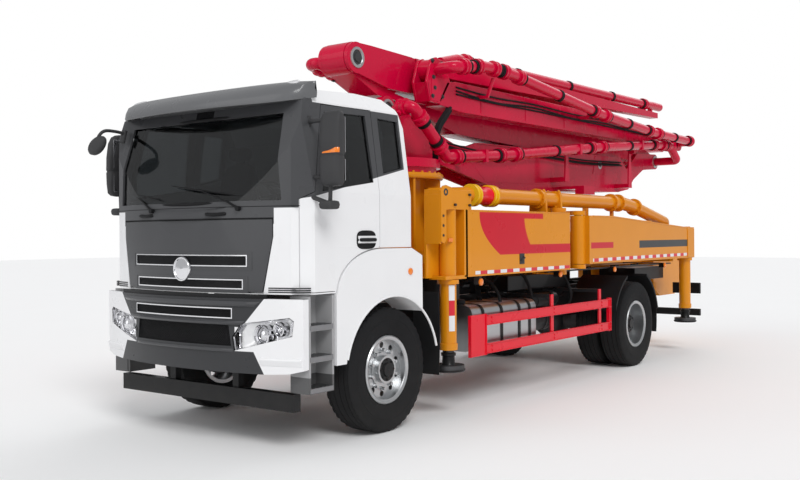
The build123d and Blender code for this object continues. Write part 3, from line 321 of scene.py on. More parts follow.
def bumper_mask(finish):
    """The bumper's dark middle: the lower panel, the mesh and the bar over it."""
    across = finish.x.size() * -1
    low = (across + 0.81 + (finish.z * -1 + 0.765) * 0.54).low(finish.z * -1 + 0.795)
    mesh = (across + 0.62).low(finish.z - 0.780).low(finish.z * -1 + 1.01)
    bar = (across + 0.700 + (finish.z - 1.0) * 0.9).low(finish.z - 0.985)
    return low.high(mesh).high(bar)


def front_stripe(finish):
    """The first side panel's red flash: a band at the top swept down into one at the foot."""
    fall = (finish.z * -1 + 1.90) * (1 / 0.40)
    outer = finish.y - 1.365 - fall * fall * 0.385
    inner = finish.y * -1 + 2.235 + fall * fall * 0.215
    body = outer.low(inner).low(finish.z * -1 + 1.925).low(finish.z - 1.50)
    top = (finish.y - 1.5).low(finish.y * -1 + 2.64).low(finish.z - 1.868).low(finish.z * -1 + 1.925)
    foot = (finish.z - 1.50).low(finish.z * -1 + 1.597).low(finish.y - 1.90)
    return body.high(top).high(foot).low(finish.x.size() - PANEL_X)


YELLOW_STRIPED = two_tone("yellow with a red flash", front_stripe, YELLOW, FLASH_RED)


def rear_stripe_colour():
    """The rear panel's short red stripe, then a dark one up to the leg."""
    finish = Finish("yellow with a stripe", Coat_Weight=0.25, Coat_Roughness=0.06, Specular_IOR_Level=0.25)
    skin = finish.x.size() - PANEL_X
    band = (finish.z - 1.530).low(finish.z * -1 + 1.602).low(skin)
    red = band.low(finish.y - 3.80).low(finish.y * -1 + 4.415).step()
    dark = (band + 0.012).low(finish.y - 5.20).low(finish.y * -1 + 6.905).step()
    body = dusted(finish, YELLOW)
    with_red = finish.blend(red, body, FLASH_RED)
    finish.colour(finish.blend(dark, with_red, STRIPE_BLACK))
    return sprayed(finish, 0.30)


PAINT_WHITE = paint("white paint", WHITE, 0.25, tone=0.03)
PAINT_GREY = paint("dark grey paint", DARK_GREY, 0.22, tone=0.10)
PAINT_VISOR = paint("visor grey", (0.135, 0.137, 0.142), 0.26)
PAINT_YELLOW = paint("yellow paint", YELLOW, 0.30)
PAINT_BLACK_GLOSS = paint("black border", (0.012, 0.012, 0.013), 0.10, tone=0.15)
LAMP_WHITE = lens("white lens", (0.75, 0.75, 0.76))
PAINT_BRIGHT_YELLOW = paint("bright yellow paint", (0.83, 0.50, 0.01), 0.30)
PAINT_CRIMSON = paint("boom red paint", CRIMSON, 0.26, tone=0.08)
PAINT_RED = paint("guard red paint", RED, 0.26)
PAINT_BLACK = paint("black paint", (0.009, 0.009, 0.010), 0.38, 0.10, tone=0.15)
CAB_PAINT = two_tone("cab paint", cab_mask, WHITE, DARK_GREY)
DOOR_PAINT = two_tone("door paint", belt, WHITE, DARK_GREY)
BUMPER_PAINT = two_tone("bumper paint", bumper_mask, WHITE, DARK_BAR)
REAR_STRIPED = rear_stripe_colour()
PLASTIC = plastic("black plastic")
PLASTIC_GREY = plastic("grey plastic", (0.05, 0.05, 0.052))
RUBBER = rubber("tyre rubber")
CHROME = metal("chrome", (0.80, 0.80, 0.82), 0.06, 0.14, 12.0)
PAINT_LAMP = metal("lamp reflector", (0.93, 0.93, 0.94), 0.28, 0.40, 14.0)
RIM = metal("rim silver", (0.55, 0.56, 0.57), 0.28, 0.42, 40.0)
ALUMINIUM = metal("brushed aluminium", (0.52, 0.53, 0.54), 0.25, 0.42, 60.0, (1, 0.05, 1))
IRON = metal("dark iron", (0.10, 0.10, 0.105), 0.45, 0.65, 25.0)
STEP_METAL = metal("step plate", (0.30, 0.30, 0.31), 0.35, 0.55, 35.0)
GLASS = glass("tinted glass", (0.16, 0.175, 0.18))
CLEAR = glass("clear lens", (0.97, 0.97, 0.98), 0.005, 1.10)
AMBER_LENS = lens("amber lens", AMBER)
TAPE = tape("red and white tape", red_lengths)
TAPE_UP = tape("leg tape", red_middle)
SEAT_CLOTH = cloth("seat cloth", (0.055, 0.056, 0.06))

def step_mask(finish):
    """The steps' recess is painted light grey above the lowest step's hanger."""
    return finish.z - 0.60


def guard_mask(finish):
    """The side guards are red outside, and black on their arms back to the frame."""
    return finish.x.size() - 1.19


STEP_PAINT = two_tone("step paint", step_mask, (0.10, 0.10, 0.102), (0.36, 0.36, 0.365), 0.40)
GUARD_PAINT = two_tone("guard paint", guard_mask, (0.025, 0.025, 0.027), RED)

MATERIAL_OF = {
    "cab_shell": CAB_PAINT, "left_door": DOOR_PAINT, "right_door": DOOR_PAINT, "fenders": PAINT_WHITE,
    "front_bumper": BUMPER_PAINT, "front_lid": PAINT_GREY, "bumper_grille": PLASTIC,
    "windscreen": GLASS, "quarter_windows": GLASS, "left_door_glass": GLASS, "right_door_glass": GLASS,
    "headlamps": CLEAR, "entry_steps": STEP_PAINT, "fuel_tank": ALUMINIUM, "side_guards": GUARD_PAINT,
    "chassis_frame": PAINT_BLACK, "right_side_boxes": PAINT_BLACK, "rear_mudguards": PLASTIC,
    "rear_lamps": PAINT_BLACK, "engine_block": IRON, "axles": IRON, "left_knuckle": IRON,
    "right_knuckle": IRON, "deck_frame": PAINT_YELLOW, "slew_pedestal": PAINT_YELLOW,
    "deck_pipe": PAINT_YELLOW, "hopper": PAINT_YELLOW, "hopper_grate": PAINT_YELLOW,
    "pump_cylinders": PAINT_YELLOW, "lift_barrel": PAINT_BLACK, "knee_barrel": PAINT_BLACK,
    "lift_rod": CHROME, "knee_rod": CHROME, "turret": PAINT_CRIMSON, "cab_interior": SEAT_CLOTH,
    "front_left_outrigger": YELLOW_STRIPED, "front_right_outrigger": YELLOW_STRIPED,
    "rear_left_outrigger": REAR_STRIPED, "rear_right_outrigger": REAR_STRIPED,
}
for name, node in NODES.items():
    if "rim" in name:
        material = RIM
    elif "jack" in name:
        material = IRON
    elif "mirror" in name:
        material = PLASTIC_GREY
    elif "tyre" in name:
        material = RUBBER
    elif name.startswith("arm_"):
        material = PAINT_CRIMSON
    else:
        material = MATERIAL_OF[name]
    node.data.materials.clear()
    node.data.materials.append(material)


# ---------------------------------------------------------------- mesh building
class Shape:
    """Plain forms gathered into one mesh piece, placed by x, station and z."""

    def __init__(self):
        self.bm = bmesh.new()

    def _faces(self, points, faces):
        corners = [self.bm.verts.new(p) for p in points]
        for face in faces:
            self.bm.faces.new([corners[k] for k in face])

    def box(self, x0, x1, y0, y1, z0, z1):
        points = [at(x, y, z) for x in (x0, x1) for y in (y0, y1) for z in (z0, z1)]
        self._faces(points, ((0, 1, 3, 2), (4, 6, 7, 5), (0, 4, 5, 1), (2, 3, 7, 6), (0, 2, 6, 4),
                             (1, 5, 7, 3)))
        return self

    def _prism(self, low, high):
        n = len(low)
        sides = [(k, (k + 1) % n, n + (k + 1) % n, n + k) for k in range(n)]
        self._faces(low + high, [tuple(reversed(range(n))), tuple(range(n, 2 * n)), *sides])
        return self

    def side(self, outline, x0, x1):
        """A plate with this (station, z) outline, from x0 to x1."""
        return self._prism([at(x0, y, z) for y, z in outline], [at(x1, y, z) for y, z in outline])

    def front(self, outline, y0, y1):
        """A plate with this (x, z) outline, from station y0 to y1."""
        return self._prism([at(x, y0, z) for x, z in outline], [at(x, y1, z) for x, z in outline])

    def loft(self, sections, closed=True, caps=True):
        """Skins a row of sections of (x, station, z) points, all with the same count."""
        rows = [[self.bm.verts.new(at(*p)) for p in section] for section in sections]
        n = len(rows[0])
        for a, b in zip(rows, rows[1:]):
            for k in range(n if closed else n - 1):
                self.bm.faces.new((a[k], a[(k + 1) % n], b[(k + 1) % n], b[k]))
        if caps:
            self.bm.faces.new(list(reversed(rows[0])))
            self.bm.faces.new(rows[-1])
        return self

    def tube(self, points, r, sides=12, closed=False):
        """A round tube through (x, station, z) points. r is one radius, or one for each point."""
        places = [at(*p) for p in points]
        radii = r if isinstance(r, (list, tuple)) else [r] * len(places)
        across = None
        rows = []
        for k, place in enumerate(places):
            before = places[k - 1] if k or closed else place
            after = places[(k + 1) % len(places)] if k + 1 < len(places) or closed else place
            if (after - before).length < 1e-9:
                before, after = places[0], places[-1]
            run = (after - before).normalized()
            if across is None:
                across = run.orthogonal().normalized()
            across = (across - run * across.dot(run)).normalized()
            other = run.cross(across)
            rows.append([self.bm.verts.new(place + (across * math.cos(a) + other * math.sin(a)) * radii[k])
                         for a in (math.tau * j / sides for j in range(sides))])
        for k in range(len(rows) if closed else len(rows) - 1):
            a, b = rows[k], rows[(k + 1) % len(rows)]
            for j in range(sides):
                self.bm.faces.new((a[j], a[(j + 1) % sides], b[(j + 1) % sides], b[j]))
        if not closed:
            self.bm.faces.new(list(reversed(rows[0])))
            self.bm.faces.new(rows[-1])
        return self

    def rod(self, a, b, r, sides=20):
        return self.tube((a, b), r, sides)

    def lathe(self, profile, centre, axis="x", steps=48, closed=False):
        """Turns a (distance along the axis, radius) profile about an axis through centre."""
        centre = at(*centre)
        turn = {"x": Matrix.Identity(3), "y": Matrix.Rotation(math.pi / 2, 3, "Z"),
                "z": Matrix.Rotation(-math.pi / 2, 3, "Y")}[axis]
        rows = []
        for k in range(steps):
            angle = math.tau * k / steps
            rows.append([self.bm.verts.new(centre + turn @ Vector((u, r * math.cos(angle),
                                                                   r * math.sin(angle))))
                         for u, r in profile])
        n = len(profile)
        for k in range(steps):
            a, b = rows[k], rows[(k + 1) % steps]
            for j in range(n if closed else n - 1):
                self.bm.faces.new((a[j], b[j], b[(j + 1) % n], a[(j + 1) % n]))
        return self

    def piece(self, name, body, material, bevel=0.0, stands_for=(), angle=35.0, segments=2):
        bmesh.ops.remove_doubles(self.bm, verts=self.bm.verts, dist=1e-6)
        bmesh.ops.recalc_face_normals(self.bm, faces=self.bm.faces)
        mesh = bpy.data.meshes.new(name)
        self.bm.to_mesh(mesh)
        self.bm.free()
        mesh.shade_smooth()
        mesh.set_sharp_from_angle(angle=math.radians(angle))
        mesh.materials.append(material)
        made = bpy.data.objects.new(name, mesh)
        bpy.context.scene.collection.objects.link(made)
        if bevel:
            edges = made.modifiers.new("Edges", "BEVEL")
            edges.width = bevel
            edges.segments = segments
            edges.limit_method = "ANGLE"
            edges.harden_normals = True
        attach(made, body)
        if stands_for:
            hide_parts(*stands_for)
        return made


def smooth_path(points, count=8):
    """Points along a smooth curve through these ones."""
    ends = [points[0], *points, points[-1]]
    path = []
    for k in range(1, len(ends) - 2):
        p0, p1, p2, p3 = (Vector(p) for p in ends[k - 1:k + 3])
        for j in range(count):
            t = j / count
            path.append(tuple(0.5 * (2 * p1 + (p2 - p0) * t + (2 * p0 - 5 * p1 + 4 * p2 - p3) * t * t
                                     + (3 * p1 - p0 - 3 * p2 + p3) * t * t * t)))
    path.append(tuple(points[-1]))
    return path


def smooth_corners(points, r, count=6):
    """A path of straight runs whose corners are rounded off over a distance r."""
    path = [tuple(points[0])]
    for before, corner, after in zip(points, points[1:], points[2:]):
        a, b, c = Vector(before), Vector(corner), Vector(after)
        cut = min(r, (a - b).length * 0.45, (c - b).length * 0.45)
        start, end = b + (a - b).normalized() * cut, b + (c - b).normalized() * cut
        for j in range(count + 1):
            t = j / count
            path.append(tuple(start * (1 - t) ** 2 + b * 2 * t * (1 - t) + end * t * t))
    path.append(tuple(points[-1]))
    return path


# ---------------------------------------------------------------- wheels
SIDEWALL = [  # (share of the half width, radius): from the bead out to the tread
    (0.70, 0.298), (0.84, 0.300), (0.90, 0.312), (0.91, 0.330), (0.95, 0.350), (0.985, 0.385), (1.0, 0.425),
    (0.99, 0.426), (0.99, 0.436), (1.0, 0.437), (0.985, 0.470), (0.95, 0.500), (0.905, 0.518), (0.875, 0.530)]
TREAD_RIBS = ((0.84, 0.64), (0.60, 0.24), (0.20, -0.20), (-0.24, -0.60), (-0.64, -0.84))
GROOVE = 0.014
STEPS = 132


def tyre(shape, x, station):
    """A tyre with ribs, sipes across the shoulders, and raised rings on its sidewalls."""
    half = TYRE_W / 2
    profile = [(s * half, r) for s, r in SIDEWALL]
    for outer, inner in TREAD_RIBS:
        profile += [(outer * half, TYRE_R - GROOVE), (outer * half, TYRE_R - 0.001 - 0.006 * outer ** 2),
                    (inner * half, TYRE_R - 0.001 - 0.006 * inner ** 2), (inner * half, TYRE_R - GROOVE)]
    profile += [(-s * half, r) for s, r in reversed(SIDEWALL)]
    first = len(shape.bm.verts)
    shape.lathe(profile, (x, station, TYRE_R), steps=STEPS, closed=True)
    shape.bm.verts.ensure_lookup_table()
    centre = at(x, station, TYRE_R)
    shoulder = {len(SIDEWALL) - 1, len(SIDEWALL), len(SIDEWALL) + 1,
                len(profile) - len(SIDEWALL), len(profile) - len(SIDEWALL) - 1,
                len(profile) - len(SIDEWALL) - 2}
    for k in range(STEPS):
        for j in shoulder:
            if k % 3 == 0:
                vert = shape.bm.verts[first + k * len(profile) + j]
                inward = (centre - vert.co)
                inward.x = 0
                vert.co += inward.normalized() * 0.008


def wheel_trim(shape, x, station, out, disc, nuts=10, pitch=0.168):
    """The hub's cap, its wheel nuts and the bead's edge; disc is where the disc's face stands."""
    for k in range(nuts):
        angle = math.tau * (k + 0.5) / nuts
        y = station + pitch * math.cos(angle)
        z = TYRE_R + pitch * math.sin(angle)
        shape.rod((disc, y, z), (disc + out * 0.010, y, z), 0.022, 12)
        shape.rod((disc + out * 0.009, y, z), (disc + out * 0.040, y, z), 0.016, 6)
    edge = x + out * (TYRE_W / 2 - 0.016)
    shape.lathe([(edge - x - out * 0.006, 0.258), (edge - x + out * 0.004, 0.268),
                 (edge - x + out * 0.008, 0.288),
                 (edge - x - out * 0.002, 0.298), (edge - x - out * 0.02, 0.290)], (x, station, TYRE_R),
                 steps=64)
    shape.lathe([(disc - x, 0.150), (disc - x + out * 0.012, 0.148), (disc - x + out * 0.014, 0.120)],
                (x, station, TYRE_R), steps=48)


def hub_cap(shape, x, station, out, start, r):
    shape.lathe([(start - x, r), (start - x + out * 0.05, r * 0.96), (start - x + out * 0.062, r * 0.86),
                 (start - x + out * 0.064, r * 0.55), (start - x + out * 0.080, r * 0.50),
                 (start - x + out * 0.082, 0.001)], (x, station, TYRE_R), steps=40)
    for k in range(8):
        angle = math.tau * k / 8
        y = station + r * 0.72 * math.cos(angle)
        z = TYRE_R + r * 0.72 * math.sin(angle)
        shape.rod((start + out * 0.055, y, z), (start + out * 0.072, y, z), 0.009, 6)


for side, s in SIDES:
    front_x = s * FRONT_WHEEL_X
    made = Shape()
    tyre(made, front_x, 0)
    made.piece(f"front_{side}_tyre_tread", f"front_{side}_wheel", RUBBER, stands_for=(f"front_{side}_tyre",))
    made = Shape()
    wheel_trim(made, front_x, 0, s, front_x + s * 0.062)
    made.piece(f"front_{side}_wheel_nuts", f"front_{side}_wheel", RIM)
    made = Shape()
    hub_cap(made, front_x, 0, s, front_x + s * 0.062, 0.118)
    made.piece(f"front_{side}_hub_cap", f"front_{side}_wheel", PAINT_BLACK)
    made = Shape()
    tyre(made, s * REAR_OUTER_X, WHEELBASE)
    tyre(made, s * REAR_INNER_X, WHEELBASE)
    made.piece(f"rear_{side}_tyre_treads", f"rear_{side}_wheels", RUBBER, stands_for=(f"rear_{side}_tyres",))
    made = Shape()
    wheel_trim(made, s * REAR_OUTER_X, WHEELBASE, s, s * (REAR_OUTER_X - 0.100))
    made.piece(f"rear_{side}_wheel_nuts", f"rear_{side}_wheels", RIM)
    made = Shape()
    hub_cap(made, s * REAR_OUTER_X, WHEELBASE, s, s * (REAR_OUTER_X - 0.012), 0.118)
    made.piece(f"rear_{side}_hub_cap", f"rear_{side}_wheels", PAINT_BLACK)


# ---------------------------------------------------------------- cab front
CAB_BOW = ((0.0, -1.275), (1.08, -1.105))      # (x, station) of the cab's bowed front
BUMPER_BOW = ((0.0, -1.330), (1.22, -1.120))


def bow(x, curve=CAB_BOW):
    """The station of a bowed front at x: a parabola through its middle and one side."""
    (_, middle), (wide, end) = curve
    return middle + (end - middle) * (x / wide) ** 2


def screen_station(z):
    """How far the windscreen's leaning face stands behind the front below it."""
    return 0.025 + (z - 1.90) / 0.87 * 0.24


def bowed_frame(shape, half, z0, z1, width, proud, curve=CAB_BOW, deep=0.03, back=0.0, steps=24):
    """A flat rectangular frame that follows the bowed front, such as a grille's trim."""
    def strip(x0, x1, low, high, count):
        rows = []
        for k in range(count + 1):
            x = x0 + (x1 - x0) * k / count
            face = bow(x, curve) + back
            rows.append([(x, face - proud, low), (x, face - proud, high), (x, face + deep, high),
                         (x, face + deep, low)])
        shape.loft(rows)
    strip(-half, half, z1 - width, z1, steps)
    strip(-half, half, z0, z0 + width, steps)
    strip(-half, -half + width, z0 + width, z1 - width, 1)
    strip(half - width, half, z0 + width, z1 - width, 1)
    return shape


def mesh_panel(shape, half, z0, z1, pitch, wire, depth, curve=CAB_BOW):
    """Crossed bars that fill a bowed opening, standing this deep behind the face."""
    height = z1 - z0
    for lean in (-1, 1):
        count = int((2 * half + height) / pitch)
        for k in range(count):
            x_low = -half - height * (lean > 0) + k * pitch
            ends = []
            for t in (0.0, 1.0):
                x = x_low + lean * height * t if lean > 0 else x_low + height - height * t
                ends.append((x, z0 + height * t))
            (xa, za), (xb, zb) = ends
            if max(xa, xb) < -half or min(xa, xb) > half:
                continue
            for limit in (-half, half):
                if (xa - limit) * (xb - limit) < 0:
                    zc = za + (zb - za) * (limit - xa) / (xb - xa)
                    inside_a = abs(xa) <= half
                    if inside_a:
                        xb, zb = limit, zc
                    else:
                        xa, za = limit, zc
            if abs(xb - xa) < 0.004:
                continue
            shape.rod((xa, bow(xa, curve) + depth, za), (xb, bow(xb, curve) + depth, zb), wire, 4)
    return shape


LID_SLOTS = ((0.695, 1.461, 1.555), (0.656, 1.280, 1.360))      # half width, z0, z1
LOWER_GRILLE = (0.600, 1.050, 1.135)
LOWER_MESH = (0.575, 0.834, 0.996)

made = Shape()
for half, z0, z1 in LID_SLOTS:
    bowed_frame(made, half, z0, z1, 0.009, 0.006)
made.piece("grille_frames", "front_lid", CHROME, 0.002)
made = Shape()
for half, z0, z1 in LID_SLOTS:
    mesh_panel(made, half - 0.008, z0 + 0.008, z1 - 0.008, 0.016, 0.0022, 0.004)
made.piece("grille_mesh", "front_lid", PLASTIC)
made = Shape()
for half, z0, z1 in LID_SLOTS:
    bowed_frame(made, half + 0.045, z0 - 0.028, z1 + 0.022, 0.016, 0.004, deep=0.02)
made.piece("grille_surrounds", "front_lid", PAINT_GREY, 0.003)

made = Shape()
bowed_frame(made, *LOWER_GRILLE, 0.009, 0.006, BUMPER_BOW)
made.piece("lower_grille_frame", "chassis", CHROME, 0.002)
made = Shape()
mesh_panel(made, LOWER_GRILLE[0] - 0.008, LOWER_GRILLE[1] + 0.008, LOWER_GRILLE[2] - 0.008, 0.016, 0.0022,
           0.008,
           BUMPER_BOW)
mesh_panel(made, LOWER_MESH[0] - 0.004, LOWER_MESH[1] + 0.004, LOWER_MESH[2] - 0.004, 0.022, 0.0026, 0.010,
           BUMPER_BOW)
made.piece("lower_grille_mesh", "chassis", PLASTIC)

BADGE_Z = 1.435
BADGE_R = 0.105
made = Shape()
face = bow(0) - 0.010
made.lathe([(face + 0.012, BADGE_R), (face, BADGE_R), (face - 0.010, BADGE_R - 0.006),
            (face - 0.010, BADGE_R - 0.016), (face - 0.004, BADGE_R - 0.020), (face - 0.006, 0.06),
            (face - 0.009, 0.001)],
           (0, 0, BADGE_Z), "y", 64)
made.piece("plain_badge", "front_lid", CHROME)

# The bar under the lid has swept ends that wrap over the lamps, and a lip over the lower panel.
made = Shape()
for low, high, proud, half_low, half_high in ((1.150, 1.190, 0.024, 0.80, 0.86),
                                              (1.004, 1.036, 0.034, 0.690, 0.715),
                                              (0.786, 0.812, 0.018, 0.60, 0.60)):
    rows = []
    for k in range(33):
        t = -1 + 2 * k / 32
        fade = 1 - abs(t) ** 8
        rows.append([(t * half_low, bow(t * half_low, BUMPER_BOW) - proud * 0.7 * fade, low),
                     (t * (half_low + half_high) / 2, bow(t * half_low, BUMPER_BOW) - proud * fade,
                      (low + high) / 2),
                     (t * half_high, bow(t * half_high, BUMPER_BOW) - proud * 0.35 * fade, high),
                     (t * half_high, bow(t * half_high, BUMPER_BOW) + 0.012, high),
                     (t * half_low, bow(t * half_low, BUMPER_BOW) + 0.012, low)])
    made.loft(rows)
made.piece("bumper_ribs", "chassis", PAINT_GREY, 0.002)

# ---------------------------------------------------------------- windscreen, visor and wipers
SCREEN_LOW = 1.985
SCREEN_HIGH = 2.680
SCREEN_HALF_LOW = 1.000
SCREEN_HALF_HIGH = 0.940


def on_screen(x, z, proud=0.0):
    """A point on the windscreen's outer face."""
    return (x, bow(x) + screen_station(z) - proud, z)


def screen_edge(grow, radius, count=7):
    """Points round the windscreen, grown by grow, with round corners."""
    low, high = SCREEN_LOW - grow, SCREEN_HIGH + grow
    corners = ((SCREEN_HALF_LOW + grow, low), (SCREEN_HALF_HIGH + grow, high),
               (-SCREEN_HALF_HIGH - grow, high), (-SCREEN_HALF_LOW - grow, low))
    points = []
    for k, (cx, cz) in enumerate(corners):
        sx = 1 if cx > 0 else -1
        sz = 1 if cz > 2.3 else -1
        centre = (cx - sx * radius, cz - sz * radius)
        start = {(1, -1): -90, (1, 1): 0, (-1, 1): 90, (-1, -1): 180}[(sx, sz)]
        for j in range(count):
            angle = math.radians(start + 90 * j / (count - 1))
            points.append((centre[0] + radius * math.cos(angle), centre[1] + radius * math.sin(angle)))
        following = corners[(k + 1) % 4]
        for j in range(1, 10):
            t = j / 10
            ax, az = points[-1] if j == 1 else base
            if j == 1:
                base = points[-1]
            step_x = (radius if following[0] > 0 else -radius) if abs(following[0] - cx) > 1 else 0
            step_z = (radius if following[1] > 2.3 else -radius) if abs(following[1] - cz) > 0.3 else 0
            points.append((base[0] + (following[0] - step_x - base[0]) * t,
                           base[1] + (following[1] - step_z - base[1]) * t))
    return points


made = Shape()
made.tube([on_screen(x, z, 0.002) for x, z in screen_edge(0.012, 0.07)], 0.014, 8, closed=True)
made.piece("windscreen_seal", "cab", PLASTIC)

made = Shape()
for pivot_x, tip in ((0.62, -0.02), (-0.42, -0.95)):
    start = on_screen(pivot_x, 1.925, 0.045)
    elbow = on_screen(pivot_x - 0.12, 1.985, 0.050)
    head = on_screen((pivot_x + tip) / 2 - 0.10, 2.075, 0.040)
    made.tube([start, elbow, head], [0.011, 0.009, 0.005], 8)
    made.rod(on_screen(pivot_x, 1.925, 0.0), on_screen(pivot_x, 1.925, 0.060), 0.020, 14)
    blade = [on_screen(head[0] + 0.42 * t, 2.075 + 0.006 - 0.055 * t, 0.026) for t in (-1, -0.5, 0, 0.5, 1)]
    made.tube(blade, [0.004, 0.007, 0.009, 0.007, 0.004], 6)
    made.rod(head, on_screen(head[0], 2.081, 0.026), 0.006, 8)
made.piece("wipers", "cab", PLASTIC)

# The grab handles under the windscreen.
made = Shape()
for x in (0.28, -0.62):
    made.tube(smooth_path([on_screen(x, 1.885, 0.0), on_screen(x + 0.01, 1.885, 0.028),
                           on_screen(x + 0.10, 1.880, 0.034),
                           on_screen(x + 0.19, 1.885, 0.028), on_screen(x + 0.20, 1.885, 0.0)], 4), 0.014, 10)
made.piece("front_grab_handles", "cab", PLASTIC)

# Sun visor: a bowed hood over the windscreen whose ends wrap round the cab's corners.
VISOR_HALF = 1.145
VISOR_BACK = -0.880


def visor_front(x):
    """The station of the visor's lower front edge."""
    t = abs(x) / VISOR_HALF
    return -1.250 + 0.165 * t ** 2 + 0.185 * t ** 14


made = Shape()
rows = []
for k in range(49):
    x = VISOR_HALF * math.sin(math.pi * (k / 48 - 0.5))
    t = abs(x) / VISOR_HALF
    y = visor_front(x)
    low = 2.752 + 0.045 * t ** 10
    top = 2.945 - 0.012 * t ** 4
    deep = VISOR_BACK - y
    rows.append([(x, y + 0.028, low + 0.004), (x, y + 0.004, low), (x, y, low + 0.012),
                 (x, y + 0.010, low + 0.060),
                 (x, y + 0.20 * deep, low + 0.115), (x, y + 0.42 * deep, top - 0.030),
                 (x, y + 0.70 * deep, top - 0.004),
                 (x, VISOR_BACK, top), (x, VISOR_BACK, top - 0.026), (x, y + 0.68 * deep, top - 0.034),
                 (x, y + 0.42 * deep, top - 0.060), (x, y + 0.22 * deep, low + 0.085),
                 (x, y + 0.034, low + 0.045)])
made.loft(rows)
made.piece("sun_visor_hood", "cab", PAINT_VISOR, angle=50)
# Oval lamps let into the visor near its ends.
for k, s in enumerate((-1, 1)):
    x = s * 0.955
    y = visor_front(x)
    made = Shape()
    made.loft([[(x + 0.078 * w * math.cos(a), y + 0.165 + 0.048 * w * math.sin(a),
                 2.926 + 0.022 * math.sin(a) * w + d)
                for a in (math.tau * j / 32 for j in range(32))] for d,
                w in ((-0.02, 1.0), (0.004, 1.0), (0.009, 0.86),
                                                                            (0.012, 0.55), (0.013, 0.05))])
    made.piece(f"visor_lamp_{k}", "cab", LAMP_WHITE, angle=50)
# The windscreen's black border under the visor.
made = Shape()
rows = []
for k in range(25):
    x = -0.985 + 1.97 * k / 24
    rows.append([on_screen(x, 2.672, 0.002), on_screen(x, 2.765, 0.002), on_screen(x, 2.765, -0.006),
                 on_screen(x, 2.672, -0.006)])
made.loft(rows)
made.piece("windscreen_border", "cab", PAINT_BLACK_GLOSS)

# ---------------------------------------------------------------- mirrors, handles and cab details
def rounded_column(shape, x, station, rows, sides=32, power=0.55):
    """An upright housing: (z, half x, half y, lean) rows of rounded rectangles."""
    def corner(value):
        return math.copysign(abs(value) ** power, value)
    shape.loft([[(x + half_x * corner(math.cos(a)), station + lean + half_y * corner(math.sin(a)), z)
                 for a in (math.tau * j / sides for j in range(sides))] for z, half_x, half_y, lean in rows])


MIRROR_ROWS = ((2.085, 0.60, 0.40, 0.014), (2.092, 0.84, 0.72, 0.008), (2.115, 0.95, 0.90, 0.002),
               (2.20, 1.0, 0.97, 0.0),
               (2.308, 1.0, 1.0, 0.0), (2.311, 0.955, 0.95, 0.0), (2.325, 0.955, 0.95, 0.0),
               (2.328, 1.0, 1.0, 0.0),
               (2.45, 1.0, 0.98, 0.0), (2.58, 0.97, 0.88, 0.006), (2.64, 0.90, 0.70, 0.014),
               (2.662, 0.76, 0.45, 0.020),
               (2.667, 0.50, 0.25, 0.024))
MIRROR_PLACE = {"left": (1.392, -0.975, 0.102, 0.058), "right": (-1.335, -0.915, 0.040, 0.135)}
for side, s in SIDES:
    x, y, half_x, half_y = MIRROR_PLACE[side]
    inner = x - s * half_x
    made = Shape()
    rounded_column(made, x, y, [(z, half_x * a, half_y * b, lean) for z, a, b, lean in MIRROR_ROWS])
    # The small wide-angle housing on its own stalk below.
    rounded_column(made, x - s * 0.02, y - 0.01,
                   [(1.908, 0.050, 0.050, 0.0), (1.916, 0.062, 0.066, 0.0), (1.945, 0.066, 0.074, 0.0),
                    (1.968, 0.060, 0.066, 0.0), (1.974, 0.044, 0.046, 0.0)])
    for z in (2.16, 2.60):
        made.tube([(s * 1.130, y + 0.02, z), (s * 1.190, y + 0.01, z), (inner + s * 0.02, y, z)],
                  [0.020, 0.017, 0.015], 14)
        made.rod((s * 1.130, y + 0.02, z - 0.045), (s * 1.130, y + 0.02, z + 0.045), 0.024, 16)
    made.tube([(x - s * 0.02, y, 1.970), (x - s * 0.015, y, 2.100)], 0.016, 12)
    made.tube([(s * 1.165, y - 0.01, 2.015), (s * 1.20, y - 0.01, 2.005), (x - s * 0.05, y - 0.01, 1.960)],
              0.018, 12)
    made.piece(f"{side}_mirror_housing", f"{side}_door", PLASTIC_GREY, stands_for=(f"{side}_mirror",),
               angle=50)
    # The glass faces rearwards when the mirror stands out, and the door when it is folded.
    made = Shape()
    if side == "left":
        for z0, z1 in ((2.13, 2.290), (2.345, 2.615)):
            made.front([(x - 0.088, z0), (x + 0.088, z0), (x + 0.088, z1), (x - 0.088, z1)],
                       y + half_y - 0.004,
                       y + half_y + 0.002)
    else:
        for z0, z1 in ((2.13, 2.290), (2.345, 2.615)):
            made.side([(y - 0.088, z0), (y + 0.088, z0), (y + 0.088, z1), (y - 0.088, z1)], x + 0.033,
                      x + 0.038)
    made.piece(f"{side}_mirror_glass", f"{side}_door", CHROME, 0.002)
    if side == "left":
        made = Shape()
        made.loft([[(x + (half_x + d) * math.copysign(abs(math.cos(a)) ** 0.55, math.cos(a)),
                     y + (half_y + d) * math.copysign(abs(math.sin(a)) ** 0.55, math.sin(a)),
                     2.336 + h * min(1.0, 0.25 + j / 9))
                    for j, a in ((j, math.pi * (1.42 + 0.50 * j / 12)) for j in range(13))]
                   for d, h in ((-0.006, 0.0), (0.002, 0.003), (0.003, 0.034), (-0.008, 0.056))],
                   closed=False,
                  caps=False)
        made.piece("mirror_indicator", "left_door", AMBER_LENS)

